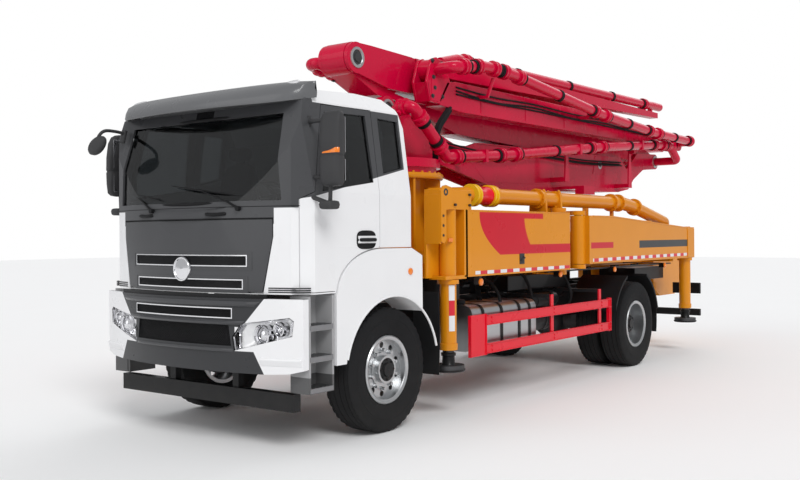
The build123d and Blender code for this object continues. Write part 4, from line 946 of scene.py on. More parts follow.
# A small mirror hangs in front of the right corner and looks down on the kerb.
KERB_MIRROR = (-1.045, -1.340, 2.520)
made = Shape()
rows = []
for d, w in ((-0.0575, 0.55), (-0.052, 0.82), (-0.036, 0.97), (-0.010, 1.0), (-0.002, 0.96), (0.0, 0.88)):
    rows.append([(KERB_MIRROR[0] + 0.113 * w * math.cos(a) - 0.030 * w * math.sin(a), KERB_MIRROR[1] + d,
                  KERB_MIRROR[2] + 0.053 * w * math.cos(a) + 0.065 * w * math.sin(a))
                 for a in (math.tau * j / 32 for j in range(32))])
made.loft(rows)
made.tube(smooth_path([(-1.035, -1.370, 2.530), (-1.000, -1.375, 2.600), (-0.990, -1.320, 2.650),
                       (-1.000, -1.200, 2.655),
                       (-1.015, -1.085, 2.645)], 5), 0.015, 12)
made.rod((-1.020, -1.115, 2.560), (-1.015, -1.085, 2.675), 0.024, 14)
made.piece("kerb_mirror_housing", "cab", PLASTIC_GREY, angle=50)

for side, s in SIDES:
    made = Shape()
    made.loft([[(s * 1.222 + s * d, -0.355 + 0.125 * w * math.copysign(abs(math.cos(a)) ** 0.6, math.cos(a)),
                 1.668 + 0.078 * w * math.copysign(abs(math.sin(a)) ** 0.6, math.sin(a)))
                for a in (math.tau * j / 32 for j in range(32))]
               for d, w in ((-0.004, 1.0), (0.004, 0.99), (0.006, 0.93), (0.001, 0.84), (0.000, 0.60))])
    made.tube([(s * 1.222, -0.470, 1.668), (s * 1.244, -0.450, 1.668), (s * 1.246, -0.355, 1.668),
               (s * 1.244, -0.262, 1.668),
               (s * 1.222, -0.242, 1.668)], [0.012, 0.015, 0.016, 0.015, 0.012], 12)
    made.piece(f"{side}_door_handle", f"{side}_door", PLASTIC, 0.004)
    # The seal round the door's window.
    made = Shape()
    made.tube([(s * (1.214 - 0.155 * max(0, (z - 2.05) / 0.73)), y, z) for y, z in
               ((-0.885, 2.057), (-0.233, 2.150), (-0.252, 2.715), (-0.773, 2.700))], 0.010, 8, closed=True)
    made.piece(f"{side}_window_seal", f"{side}_door", PLASTIC)
    made = Shape()
    made.tube([(s * (1.214 - 0.155 * (z - 2.05) / 0.73), y, z) for y, z in
               ((-0.089, 2.230), (0.190, 2.290), (0.190, 2.700), (-0.089, 2.710))], 0.010, 8, closed=True)
    made.piece(f"{side}_quarter_seal", "cab", PLASTIC)


def cab_front(x):
    """The station of the cab's front face at x, with its round corners."""
    if abs(x) <= 1.08:
        return bow(x)
    t = min(1.0, (abs(x) - 1.08) / 0.14)
    return -1.105 + 0.15 * (1 - math.sqrt(1 - t * t))


def facing(shape, x0, x1, z0, z1, out, deep, curve=cab_front, steps=16):
    """A panel that follows a bowed front, from out in front of it to deep behind it."""
    rows = []
    for k in range(steps + 1):
        x = x0 + (x1 - x0) * k / steps
        face = curve(x)
        rows.append([(x, face - out, z0), (x, face - out, z1), (x, face + deep, z1), (x, face + deep, z0)])
    shape.loft(rows)
    return shape


# ---------------------------------------------------------------- bumper
def bowed_sheet(shape, outline, holes, thick, curve, grid=0.06):
    """A sheet with this (x, z) outline and holes, bent to a bowed front, with its edges turned in."""
    points, edges = [], []
    for ring in (outline, *holes):
        start = len(points)
        dense = []
        for k, (x, z) in enumerate(ring):
            nx, nz = ring[(k + 1) % len(ring)]
            count = max(1, int(math.hypot(nx - x, nz - z) / grid))
            dense += [(x + (nx - x) * j / count, z + (nz - z) * j / count) for j in range(count)]
        points += dense
        edges += [(start + k, start + (k + 1) % len(dense)) for k in range(len(dense))]
    low, high = min(x for x, _ in outline), max(x for x, _ in outline)
    for j in range(1, 9):
        z = min(z for _, z in outline) + (max(z for _, z in outline) - min(z for _, z in outline)) * j / 9
        points += [(low + (high - low) * (k + 0.5) / 36, z + 0.003) for k in range(36)]
    places, _, faces, _, _, _ = delaunay_2d_cdt([Vector(p) for p in points], edges, [], 1, 1e-6)

    def inside(x, z, ring):
        crossings = 0
        for k, (ax, az) in enumerate(ring):
            bx, bz = ring[(k + 1) % len(ring)]
            if (az > z) != (bz > z) and x < ax + (z - az) / (bz - az) * (bx - ax):
                crossings += 1
        return crossings % 2 == 1

    front = [shape.bm.verts.new(at(p.x, curve(p.x), p.y)) for p in places]
    back = [shape.bm.verts.new(at(p.x, curve(p.x) + thick, p.y)) for p in places]
    uses = {}
    for face in faces:
        cx = sum(places[k].x for k in face) / len(face)
        cz = sum(places[k].y for k in face) / len(face)
        if not inside(cx, cz, outline) or any(inside(cx, cz, hole) for hole in holes):
            continue
        shape.bm.faces.new([front[k] for k in face])
        shape.bm.faces.new([back[k] for k in reversed(face)])
        for k, a in enumerate(face):
            b = face[(k + 1) % len(face)]
            uses.setdefault(frozenset((a, b)), []).append((a, b))
    for pairs in uses.values():
        if len(pairs) == 1:
            a, b = pairs[0]
            shape.bm.faces.new((front[b], front[a], back[a], back[b]))
    loose = [v for v in shape.bm.verts if not v.link_faces]
    bmesh.ops.delete(shape.bm, geom=loose, context="VERTS")
    return shape


# ---------------------------------------------------------------- headlamps
LAMP_OUTLINE = ((0.612, 0.797), (0.593, 0.905), (0.672, 1.012), (1.105, 1.070), (1.142, 1.045),
                (1.128, 0.925))
LAMP_CENTRE = (0.890, 0.940)


def lamp_ring(s, share, back):
    """The lamp's outline drawn in to a share of its size, this far behind the bumper's face."""
    points = []
    for k, (x, z) in enumerate(LAMP_OUTLINE):
        nx, nz = LAMP_OUTLINE[(k + 1) % len(LAMP_OUTLINE)]
        for t in (0.06, 0.28, 0.50, 0.72, 0.94):
            px = LAMP_CENTRE[0] + (x + (nx - x) * t - LAMP_CENTRE[0]) * share
            pz = LAMP_CENTRE[1] + (z + (nz - z) * t - LAMP_CENTRE[1]) * share
            points.append((s * px, bow(px, BUMPER_BOW) + back, pz))
    return points


for side, s in SIDES:
    made = Shape()
    made.loft([lamp_ring(s, 0.985, 0.060), lamp_ring(s, 0.995, 0.010), lamp_ring(s, 0.985, 0.001),
               lamp_ring(s, 0.60, -0.003), lamp_ring(s, 0.05, -0.004)], caps=False)
    made.piece(f"{side}_lamp_lens", "chassis", CLEAR, stands_for=("headlamps",) if side == "left" else (),
               angle=40)
    made = Shape()
    made.loft([lamp_ring(s, 0.97, 0.006), lamp_ring(s, 0.93, 0.020), lamp_ring(s, 0.90, 0.050),
               lamp_ring(s, 0.88, 0.062)],
              caps=False)
    made.piece(f"{side}_lamp_bezel", "chassis", CHROME, 0.0015, angle=25)
    made = Shape()
    made.loft([lamp_ring(s, 0.96, 0.055), lamp_ring(s, 0.50, 0.075), lamp_ring(s, 0.02, 0.078)], caps=False)
    made.piece(f"{side}_lamp_reflector", "chassis", PAINT_LAMP)
    # The projector, its ring and the round high beam beside it.
    for k, (x, z, r) in enumerate(((0.850, 0.925, 0.070), (1.000, 0.975, 0.045))):
        face = bow(x, BUMPER_BOW)
        made = Shape()
        made.lathe([(0.074, r + 0.018), (0.020, r + 0.014), (0.014, r + 0.006), (0.022, r - 0.006),
                    (0.050, r - 0.012),
                    (0.058, 0.002)], (s * x, face, z), "y", 40)
        made.piece(f"{side}_lamp_ring_{k}", "chassis", CHROME)
        made = Shape()
        made.lathe([(0.045, r - 0.016), (0.034, (r - 0.016) * 0.80), (0.026, (r - 0.016) * 0.45),
                    (0.024, 0.001)],
                   (s * x, face, z), "y", 32)
        made.piece(f"{side}_lamp_bulb_{k}", "chassis", CHROME)
    made = Shape()
    for k in range(7):
        x = 1.080 + 0.013 * k
        made.tube([(s * x, bow(x, BUMPER_BOW) + 0.045, 0.955 + 0.006 * k),
                   (s * (x + 0.018), bow(x, BUMPER_BOW) + 0.050, 1.05)],
                  0.0055, 8)
    made.piece(f"{side}_lamp_indicator", "chassis", CHROME)

BUMPER_OUTLINE = ((-1.215, 0.662), (-1.10, 0.634), (-0.88, 0.622), (0.88, 0.622), (1.10, 0.634),
                  (1.215, 0.662),
                  (1.220, 1.212), (-1.220, 1.212))
BUMPER_MESH = ((-0.585, 0.832), (0.585, 0.832), (0.560, 0.998), (-0.560, 0.998))
BUMPER_SLOT = ((-0.600, 1.050), (0.600, 1.050), (0.600, 1.135), (-0.600, 1.135))


def bumper_face(x):
    return bow(x, BUMPER_BOW)


made = Shape()
lamp_holes = [[(s * x, z) for x, z in LAMP_OUTLINE] for s in (-1, 1)]
bowed_sheet(made, BUMPER_OUTLINE, [BUMPER_MESH, BUMPER_SLOT, *lamp_holes], 0.045, bumper_face)
for s in (-1, 1):
    made.side([(-1.118, 0.662), (-1.062, 0.668), (-1.062, 1.212), (-1.118, 1.212)], s * 1.190, s * 1.2195)
    made.box(s * 0.385, s * 0.430, -1.280, -1.060, 0.700, 0.790)
made.piece("bumper_skin", "chassis", BUMPER_PAINT, stands_for=("front_bumper",), angle=32)

# ---------------------------------------------------------------- cab front trim
# The dark strip that closes the gap between the lid and the bumper.
made = Shape()
facing(made, -0.90, 0.90, 1.196, 1.243, -0.016, 0.030, lambda x: bow(x, BUMPER_BOW), steps=24)
made.piece("bumper_top_strip", "chassis", PAINT_BLACK)
# Vents at the feet of the white corners, gaps round the lid and the crease over the corners.
made = Shape()
for s in (-1, 1):
    for k in range(3):
        low = 1.258 + 0.016 * k
        facing(made, *sorted((s * 0.885, s * 1.205)), low, low + 0.010, 0.003, 0.006)
made.piece("corner_vents", "cab", PLASTIC_GREY, 0.001)
made = Shape()
facing(made, -0.930, 0.930, 1.842, 1.850, 0.0015, 0.004, steps=32)
facing(made, -1.150, 1.150, 1.936, 1.942, 0.0015, 0.004, steps=32)
made.piece("cowl_seams", "cab", PLASTIC)

made = Shape()
for s in (-1, 1):
    rows = []
    for k in range(13):
        x = 0.865 + 0.345 * k / 12
        face = bow(x, BUMPER_BOW)
        rows.append([(s * x, face - 0.016, 0.748), (s * x, face - 0.020, 0.738), (s * x, face - 0.002, 0.690),
                     (s * x, face + 0.006, 0.700), (s * x, face + 0.006, 0.756)])
    made.loft(rows)
made.piece("bumper_corner_shelves", "chassis", PAINT_WHITE, 0.003)

# ---------------------------------------------------------------- cab interior
def cushion(shape, x, station, z, half_x, half_y, half_z, crown=0.16, rows=9, sides=36, lean=0.0):
    """A crowned pad whose sides pull in: superellipse rings stacked along z, leaning back by lean."""
    ring_rows = []
    for k in range(rows):
        v = -1 + 2 * k / (rows - 1)
        swell = (1 - abs(v) ** 3.2) ** (1 / 3.2) * (1 - crown) + crown * (1 - v * v)
        swell = max(swell, 0.05)
        ring_rows.append([(x + half_x * swell * math.copysign(abs(math.cos(a)) ** 0.45, math.cos(a)),
                           station + half_y * swell * math.copysign(abs(math.sin(a)) ** 0.45, math.sin(a))
                           + lean * (half_z * v + half_z), z + half_z * v)
                          for a in (math.tau * j / sides for j in range(sides))])
    shape.loft(ring_rows)
    return shape


for k, x in enumerate((0.56, -0.56)):
    made = Shape()
    cushion(made, x, -0.375, 1.830, 0.235, 0.235, 0.085, 0.25)
    seat = made.piece(f"seat_pad_{k}", "cab", SEAT_CLOTH, stands_for=("cab_interior",) if k == 0 else (),
                      angle=60)
    made = Shape()
    cushion(made, x, -0.135, 2.165, 0.225, 0.060, 0.255, 0.20, 11, lean=0.12)
    back = made.piece(f"seat_back_{k}", "cab", SEAT_CLOTH, angle=60)
    made = Shape()
    cushion(made, x, -0.090, 2.490, 0.135, 0.050, 0.075, 0.25, lean=0.1)
    head = made.piece(f"seat_head_{k}", "cab", SEAT_CLOTH, angle=60)
    made = Shape()
    made.side([(-0.600, 1.665), (-0.160, 1.665), (-0.190, 1.745), (-0.580, 1.745)], x - 0.20, x + 0.20)
    for dx in (-0.05, 0.05):
        made.rod((x + dx, -0.085, 2.38), (x + dx, -0.085, 2.46), 0.008, 10)
    made.piece(f"seat_base_{k}", "cab", PLASTIC, 0.01)

made = Shape()
rows = []
for k in range(17):
    x = -1.03 + 2.06 * k / 16
    front = max(cab_front(x) + 0.135, -1.10)
    hood = 0.045 * max(0.0, 1 - ((x - 0.56) / 0.36) ** 2) if abs(x - 0.56) < 0.36 else 0.0
    rows.append([(x, front, 1.70), (x, front, 1.885), (x, front + 0.12, 1.925 + hood),
                 (x, -0.835, 1.905 + hood),
                 (x, -0.800, 1.840), (x, -0.860, 1.720)])
made.loft(rows)
made.piece("dashboard", "cab", PLASTIC_GREY, 0.006)
made = Shape()
wheel = []
tilt = math.radians(32)
for j in range(40):
    a = math.tau * j / 40
    wheel.append((0.56 + 0.215 * math.cos(a), -0.700 + 0.215 * math.sin(a) * math.cos(tilt),
                  2.030 + 0.215 * math.sin(a) * -math.sin(tilt)))
made.tube(wheel, 0.016, 10, closed=True)
for a in (0.0, math.pi, -math.pi / 2):
    made.tube([(0.56, -0.700, 2.025), (0.56 + 0.20 * math.cos(a),
                                       -0.700 + 0.20 * math.sin(a) * math.cos(tilt),
                                       2.030 - 0.20 * math.sin(a) * math.sin(tilt))], [0.030, 0.013], 10)
made.rod((0.56, -0.840, 1.880), (0.56, -0.700, 2.030), 0.032, 16)
made.piece("steering_wheel", "cab", PLASTIC)

# ---------------------------------------------------------------- cab sides and fenders
def fender_shoulder(count, first=4, last=88):
    """The fender's upper front edge, which curves round the wheel from the cab's floor to the top."""
    for k in range(count + 1):
        a = math.radians(first + (last - first) * k / count)
        yield -0.150 - 0.580 * math.cos(a), 1.225 + 0.367 * math.sin(a)


def wheel_arch(first, last, r=0.640, count=28):
    for k in range(count + 1):
        a = math.radians(first + (last - first) * k / count)
        yield r * math.cos(a), TYRE_R + r * math.sin(a)


made = Shape()
for s in (-1, 1):
    made.side([(-0.748, 0.664), (-0.746, 1.225), *fender_shoulder(18), (0.260, 1.592), (0.420, 1.523),
               (0.4215, 1.030),
               *wheel_arch(49, 169)], s * 0.900, s * 1.235)
made.piece("fender_panels", "chassis", PAINT_WHITE, 0.010, stands_for=("fenders",), segments=3)
made = Shape()
for s in (-1, 1):
    made.box(s * 0.340, s * 0.905, 0.335, 0.385, 1.140, 1.180)
    made.box(s * 0.345, s * 0.430, 0.335, 0.385, 0.990, 1.140)
    made.box(s * 0.430, s * 0.905, -0.745, -0.703, 0.985, 1.025)
made.piece("fender_brackets", "chassis", PAINT_BLACK, 0.002)
for side, s in SIDES:
    made = Shape()
    made.side([(-0.760, 1.590), (-0.752, 1.240), *((y - 0.007, z + 0.007) for y, z in fender_shoulder(18, 6,
                                                                                                      86)),
               (-0.186, 1.599), (-0.186, 1.612), (-0.760, 1.612)], s * 1.196, s * 1.2205)
    made.piece(f"{side}_door_foot", f"{side}_door", PAINT_WHITE)

made = Shape()
for s in (-1, 1):
    arch = [(s * 1.2375, y, z) for y, z in wheel_arch(14, 166, 0.642)]
    made.tube(arch, 0.011, 8)
made.piece("fender_lips", "chassis", PAINT_WHITE)

made = Shape()
for s in (-1, 1):
    made.lathe([(s * 0.000, 0.030), (s * 0.010, 0.029), (s * 0.014, 0.022), (s * 0.015, 0.001)],
               (s * 1.235, 0.235, 1.385), "x",
               28)
made.piece("fender_markers", "chassis", AMBER_LENS)

# Ribbed treads on the steps, their hangers, and the flaps behind the wheels.
made = Shape()
for s in (-1, 1):
    for z in (0.510, 0.755, 1.000):
        for k in range(6):
            y = -1.020 + 0.045 * k
            made.box(s * 1.055, s * 1.200, y, y + 0.014, z, z + 0.007)
        made.box(s * 1.205, s * 1.220, -1.045, -0.775, z - 0.035, z + 0.004)
made.piece("step_treads", "chassis", STEP_METAL, 0.002)
made = Shape()
for s in (-1, 1):
    for x0, x1, y0, z0, z1 in ((0.930, 1.230, 0.665, 0.420, 1.180),
                               (0.640, 1.200, WHEELBASE + 0.700, 0.380, 0.760)):
        rows = []
        for k in range(9):
            t = k / 8
            z = z1 + (z0 - z1) * t
            y = y0 + 0.020 * math.sin(t * 3.0)
            rows.append([(s * x0, y, z), (s * x1, y, z), (s * x1, y + 0.010, z), (s * x0, y + 0.010, z)])
        made.loft(rows)
made.piece("mud_flaps", "chassis", RUBBER, 0.002)

# ---------------------------------------------------------------- front outrigger arms
# Each leg stands in a box that is open on its outer side, under a bracket with a lifting ear.
FRONT_ARM = (1.300, 1.945)
LEG = (1.150, 0.945)
HINGE = (1.090, 3.270)
ARM_IN, ARM_OUT = 1.060, 1.240          # the faces of a front arm
REAR_LEG = (1.150, 7.030)               # x and station
TAPE_R = 0.0812                         # the tape round a leg tube
# Rings round a leg: (distance along it, radius).
LEG_COLLAR = [(-0.020, 0.080), (-0.020, 0.104), (0.020, 0.104), (0.020, 0.080)]
LEG_FOOT = [(-0.030, 0.060), (-0.030, 0.088), (0.030, 0.090), (0.034, 0.080)]

for side, s in SIDES:
    made = Shape()
    made.box(s * ARM_IN, s * ARM_OUT, 1.120, 3.270, *FRONT_ARM)
    made.box(s * ARM_IN, s * 1.085, 0.690, 1.130, 1.300, 2.000)
    made.box(s * 1.0605, s * 1.2405, 0.6885, 0.712, 1.620, 2.080)
    made.box(s * 1.061, s * 1.239, 0.692, 1.225, 1.941, 2.128)
    made.box(s * ARM_IN, s * ARM_OUT, 1.095, 1.157, 1.300, 1.945)
    made.box(s * 1.050, s * ARM_OUT, 0.780, 1.130, 1.285, 1.320)
    for z0, z1 in ((1.300, 1.312), (1.933, 1.945)):
        made.box(s * 1.238, s * 1.244, 1.150, 3.240, z0, z1)
    made.piece(f"front_{side}_arm", f"front_{side}_outrigger", YELLOW_STRIPED, 0.006,
               stands_for=(f"front_{side}_outrigger",))
    made = Shape()
    made.rod((s * LEG[0], LEG[1], 0.622), (s * LEG[0], LEG[1], 1.990), 0.080, 40)
    made.lathe(LEG_FOOT, (s * LEG[0], LEG[1], 0.650), "z", 40)
    made.lathe(LEG_COLLAR, (s * LEG[0], LEG[1], 1.262), "z", 40)
    made.rod((s * HINGE[0], HINGE[1], FRONT_ARM[0]), (s * HINGE[0], HINGE[1], FRONT_ARM[1]), 0.090, 40)
    made.piece(f"front_{side}_leg_tube", f"front_{side}_outrigger", PAINT_YELLOW)
    # The ear on the bracket's corner, with its hole ringed.
    made = Shape()
    ear = [(0.690, 1.640), (0.740, 1.625), (0.775, 1.660), (0.775, 1.935), (0.880, 1.945), (0.880, 2.130),
           (0.850, 2.150),
           (0.825, 2.155), (0.775, 2.165), (0.725, 2.155), (0.690, 2.110)]
    made.side(ear, s * 1.238, s * 1.256)
    made.piece(f"front_{side}_bracket_ear", f"front_{side}_outrigger", PAINT_YELLOW, 0.003)
    made = Shape()
    made.lathe([(0, 0.016), (s * 0.004, 0.018), (s * 0.004, 0.032), (0, 0.034)], (s * 1.256, 0.765, 2.100),
               "x", 28)
    for y, z in ((0.722, 1.700), (0.722, 1.790), (0.722, 1.880), (1.178, 1.985), (1.178, 2.085),
                 (0.93, 1.985)):
        made.rod((s * ARM_OUT, y, z), (s * 1.262, y, z), 0.013, 6)
    made.piece(f"front_{side}_bracket_bolts", f"front_{side}_outrigger", IRON)
    made = Shape()
    made.side([(0.835, 1.640), (0.905, 1.640), (0.905, 1.672), (0.835, 1.672)], s * 1.226, s * 1.238)
    made.lathe([(0, 0.036), (s * 0.012, 0.034), (s * 0.018, 0.024), (s * 0.019, 0.001)],
               (s * 1.215, 1.417, 1.240), "x", 28)
    made.piece(f"front_{side}_amber_markers", f"front_{side}_outrigger", AMBER_LENS)
    made = Shape()
    made.box(s * 1.150, s * 1.215, 1.395, 1.439, 1.215, 1.300)
    # A dark handle plate low on the panel.
    made.box(s * 1.239, s * 1.246, 2.130, 2.225, 1.395, 1.505)
    made.tube([(s * 1.246, 2.150, 1.430), (s * 1.262, 2.150, 1.440), (s * 1.262, 2.205, 1.460),
               (s * 1.246, 2.205, 1.470)],
              0.008, 8)
    made.piece(f"front_{side}_panel_latch", f"front_{side}_outrigger", PLASTIC_GREY, 0.002)

# ---------------------------------------------------------------- tapes, markers and the rear arms
for side, s in SIDES:
    made = Shape()
    made.box(s * 1.2400, s * 1.2418, 1.285, 3.250, 1.318, 1.352)
    made.piece(f"front_{side}_tape", f"front_{side}_outrigger", TAPE)
    made = Shape()
    rows = []
    for k in range(9):
        t = k / 8
        y = 3.850 + 3.100 * t
        z = 1.372 + 0.012 * t
        rows.append([(s * 1.2395, y, z), (s * 1.2418, y, z), (s * 1.2418, y, z + 0.040),
                     (s * 1.2395, y, z + 0.040)])
    made.loft(rows)
    made.piece(f"rear_{side}_tape", f"rear_{side}_outrigger", TAPE)
    made = Shape()
    arc = [(LEG[0] + TAPE_R * math.cos(math.radians(d)), LEG[1] + TAPE_R * math.sin(math.radians(d)))
           for d in range(-50, 0, 5)]
    rows = [[(s * x, y, z) for x, y in arc] for z in (0.800, 0.900, 1.000, 1.100, 1.232)]
    made.loft(rows, closed=False, caps=False)
    made.piece(f"front_{side}_leg_tape", f"front_{side}_outrigger", TAPE_UP)
    # The rear leg's box, its cap and collar, and the raised edge along the panel's top.
    made = Shape()
    made.box(s * 1.236, s * 1.250, 6.900, 7.154, 1.352, 1.765)
    made.box(s * 1.056, s * 1.246, 6.890, 7.156, 1.735, 1.790)
    made.lathe(LEG_COLLAR, (s * REAR_LEG[0], REAR_LEG[1], 1.330), "z", 40)
    made.lathe(LEG_FOOT, (s * REAR_LEG[0], REAR_LEG[1], 0.650), "z", 40)
    made.side([(3.860, 1.905), (4.400, 1.905), (6.900, 1.775), (6.900, 1.790), (4.400, 1.922),
               (3.860, 1.922)], s * 1.225,
              s * 1.246)
    made.side([(3.860, 1.350), (6.900, 1.350), (6.900, 1.362), (3.860, 1.362)], s * 1.225, s * 1.246)
    made.piece(f"rear_{side}_arm_trim", f"rear_{side}_outrigger", PAINT_YELLOW, 0.003)

# Amber markers along the frame rails, on small black brackets.
made = Shape()
holders = Shape()
for s in (-1, 1):
    for y, z in ((3.108, 1.255), (4.538, 1.262), (6.152, 1.266)):
        made.lathe([(0, 0.034), (s * 0.012, 0.032), (s * 0.018, 0.022), (s * 0.019, 0.001)],
                   (s * 1.195, y, z), "x", 28)
        holders.box(s * 1.120, s * 1.196, y - 0.022, y + 0.022, z - 0.030, z + 0.030)
    holders.box(s * 1.100, s * 1.150, 2.900, 6.500, 1.275, 1.292)
    for y in (2.95, 4.30, 6.45):
        holders.box(s * 0.450, s * 1.150, y, y + 0.05, 1.277, 1.290)
made.piece("frame_markers", "chassis", AMBER_LENS)
holders.piece("marker_rail", "chassis", PAINT_BLACK, 0.003)

# Foot pads: a dished steel plate with a swivel under each leg.
for name, y in (("front", LEG[1]), ("rear", 7.030)):
    for side, s in SIDES:
        made = Shape()
        made.lathe([(-0.060, 0.010), (-0.060, 0.140), (-0.052, 0.158), (-0.040, 0.160), (-0.036, 0.130),
                    (-0.020, 0.085),
                    (0.010, 0.062), (0.080, 0.058), (0.086, 0.070), (0.110, 0.072), (0.116, 0.0555)],
                   (s * LEG[0], y, 0.480), "z", 48)
        made.piece(f"{name}_{side}_foot_pad", f"{name}_{side}_jack", PAINT_BLACK)

# ---------------------------------------------------------------- pipes
def collar(shape, centre, run, r, length=0.06, proud=0.018, lugs=True):
    """A two-part clamp round a pipe: a ring with raised edges and a bolted lug each side."""
    run = Vector(run).normalized()
    c = Vector(centre)
    offsets = ((-0.50, 0.0), (-0.50, 1.0), (-0.22, 1.0), (-0.16, 0.55), (0.16, 0.55), (0.22, 1.0),
               (0.50, 1.0), (0.50, 0.0))
    shape.tube([tuple(c + run * length * t) for t, _ in offsets],
               [r + 0.001 + proud * w for _, w in offsets], 28)
    if lugs:
        side = run.orthogonal().normalized()
        for k in (-1, 1):
            a = c + side * (r + proud * 0.4) * k
            b = c + side * (r + proud * 2.0) * k
            shape.tube([tuple(a), tuple(b)], length * 0.30, 8)


def flange(shape, centre, run, r, thick=0.022, proud=0.030, bolts=8):
    """A welded pipe flange with bolts."""
    run = Vector(run).normalized()
    c = Vector(centre)
    shape.tube([tuple(c - run * thick), tuple(c - run * thick), tuple(c + run * thick),
                tuple(c + run * thick)],
               [r, r + proud, r + proud, r], 32)
    side = run.orthogonal().normalized()
    other = run.cross(side)
    for k in range(bolts):
        a = math.tau * k / bolts
        q = c + (side * math.cos(a) + other * math.sin(a)) * (r + proud * 0.55)
        shape.tube([tuple(q - run * (thick + 0.012)), tuple(q + run * (thick + 0.012))], 0.009, 6)


PIPE_R = 0.062
PIPES = {      # the boom section's name: its pipe's corners, as (x, station, z)
    "arm_1": ((0.560, 1.200, 3.000), (0.560, 1.800, 2.520), (0.560, 3.050, 2.620), (0.560, 5.370, 2.870),
              (0.560, 7.500, 3.060), (0.560, 8.000, 3.070), (0.560, 8.300, 2.860)),
    "arm_2": ((-0.300, 8.300, 2.860), (-0.300, 7.900, 2.960), (-0.300, 1.900, 3.020), (-0.300, 0.780, 3.470)),
    "arm_3": ((-0.450, 0.780, 3.470), (-0.450, 1.500, 3.400), (-0.450, 8.300, 3.270), (-0.450, 8.600, 3.170)),
    "arm_4": ((0.700, 8.600, 3.170), (0.700, 7.000, 3.195), (0.700, 5.200, 3.295), (0.700, 2.900, 3.525),
              (0.700, 2.350, 3.535), (0.700, 1.740, 3.450)),
    "arm_5": ((0.360, 1.980, 3.560), (0.360, 2.300, 3.640), (0.360, 7.600, 3.690), (0.360, 7.760, 3.700),
              (0.360, 8.060, 3.700)),
}
for name, corners in PIPES.items():
    rings, clamps = Shape(), Shape()
    for a, b in zip(corners, corners[1:]):
        a, b = Vector(a), Vector(b)
        run = b - a
        length = run.length
        if length < 0.45:
            continue
        for distance in (0.17, length - 0.17):
            collar(clamps, a + run * (distance / length), run, PIPE_R, 0.085, 0.024, lugs=False)
            collar(rings, a + run * ((distance + 0.075 * (1 if distance < length / 2 else -1)) / length),
                   run, PIPE_R,
                   0.040, 0.012, lugs=False)
        count = int(length // 1.5)
        for k in range(1, count + 1):
            place = a + run * (k / (count + 1))
            collar(rings, place, run, PIPE_R, 0.050, 0.010, lugs=False)
    clamps.piece(f"{name}_pipe_clamps", name, PAINT_CRIMSON, 0.0015)
    rings.piece(f"{name}_pipe_rings", name, PLASTIC)

made = Shape()
collar(made, (0.440, 1.200, 3.000), (1, 0, 0), PIPE_R, 0.09, 0.024)
made.piece("turret_pipe_clamp", "turret", PAINT_CRIMSON, 0.0015)

# The deck pipe's flanges, its red coupling, and the V brackets that carry it.
DECK_PIPE = (0.950, 2.105, 0.084)
made = Shape()
for y in (2.060, 3.020, 4.960, 5.180):
    flange(made, (DECK_PIPE[0], y, DECK_PIPE[1]), (0, 1, 0), DECK_PIPE[2])
flange(made, (0.950, 5.700, 2.060), (0, -0.4, 0.045), DECK_PIPE[2])
for y in (3.060, 3.420):
    made.front([(0.840, 1.950), (1.060, 1.950), (1.050, 2.150), (1.020, 2.215), (1.000, 2.150),
                (0.900, 2.150),
                (0.880, 2.215), (0.850, 2.150)], y - 0.020, y + 0.020)
    made.rod((0.860, y, 2.185), (1.040, y, 2.185), 0.016, 12)
made.piece("deck_pipe_flanges", "chassis", PAINT_YELLOW, 0.003)
made = Shape()
collar(made, (DECK_PIPE[0], 1.840, DECK_PIPE[1]), (0, 1, 0), DECK_PIPE[2], 0.26, 0.012, lugs=False)
made.piece("deck_pipe_sleeve", "chassis", PAINT_RED, 0.002)
made = Shape()
for y in (1.675, 2.000):
    collar(made, (DECK_PIPE[0], y, DECK_PIPE[1]), (0, 1, 0), DECK_PIPE[2], 0.085, 0.030, lugs=False)
made.piece("deck_pipe_couplings", "chassis", PAINT_BRIGHT_YELLOW, 0.002)


# ---------------------------------------------------------------- guards, tanks and what hangs on the frame
made = Shape()
for s in (-1, 1):
    for z0, z1 in ((0.530, 0.630), (0.810, 0.910)):
        for z in (z0, z1 - 0.010):
            made.box(s * 1.229, s * 1.240, 1.512, 4.345, z, z + 0.010)
    for y in (1.222, 1.500):
        made.box(s * 1.224, s * 1.236, y - 0.012, y, 0.520, 0.920)
    for y in (4.292, 4.340):
        made.box(s * 1.229, s * 1.240, y, y + 0.010, 0.520, 0.920)
    for y in (1.60, 2.90, 4.10):
        for z in (0.560, 0.600, 0.840, 0.880):
            made.rod((s * 1.228, y, z), (s * 1.238, y, z), 0.011, 6)
made.piece("guard_lips", "chassis", PAINT_RED, 0.002)

# Straps round the fuel tank, its filler cap, and the air cleaner.
made = Shape()
TANK = (0.560, 1.110, 0.540, 1.000)
for y in (1.620, 1.980, 2.340, 2.560):
    path = []
    for cx, cz, start in ((TANK[0] + 0.09, TANK[3] - 0.09, 180), (TANK[1] - 0.09, TANK[3] - 0.09, 90),
                          (TANK[1] - 0.09, TANK[2] + 0.09, 0), (TANK[0] + 0.09, TANK[2] + 0.09, -90)):
        for j in range(7):
            a = math.radians(start - 15 * j)
            path.append((cx + 0.093 * math.cos(a), y, cz + 0.093 * math.sin(a)))
    rows = [[(x, y - 0.022, z), (x, y + 0.022, z), (x + (x - 0.835) * 0.012, y + 0.022,
                                                    z + (z - 0.77) * 0.012),
             (x + (x - 0.835) * 0.012, y - 0.022, z + (z - 0.77) * 0.012)] for x, y, z in path]
    rows.append(rows[0])
    made.loft(rows, caps=False)
made.piece("tank_straps", "chassis", PAINT_BLACK)
made = Shape()
made.lathe([(-0.01, 0.058), (0.012, 0.058), (0.020, 0.066), (0.046, 0.066), (0.052, 0.056), (0.053, 0.001)],
           (0.900, 1.500, 1.000), "z", 32)
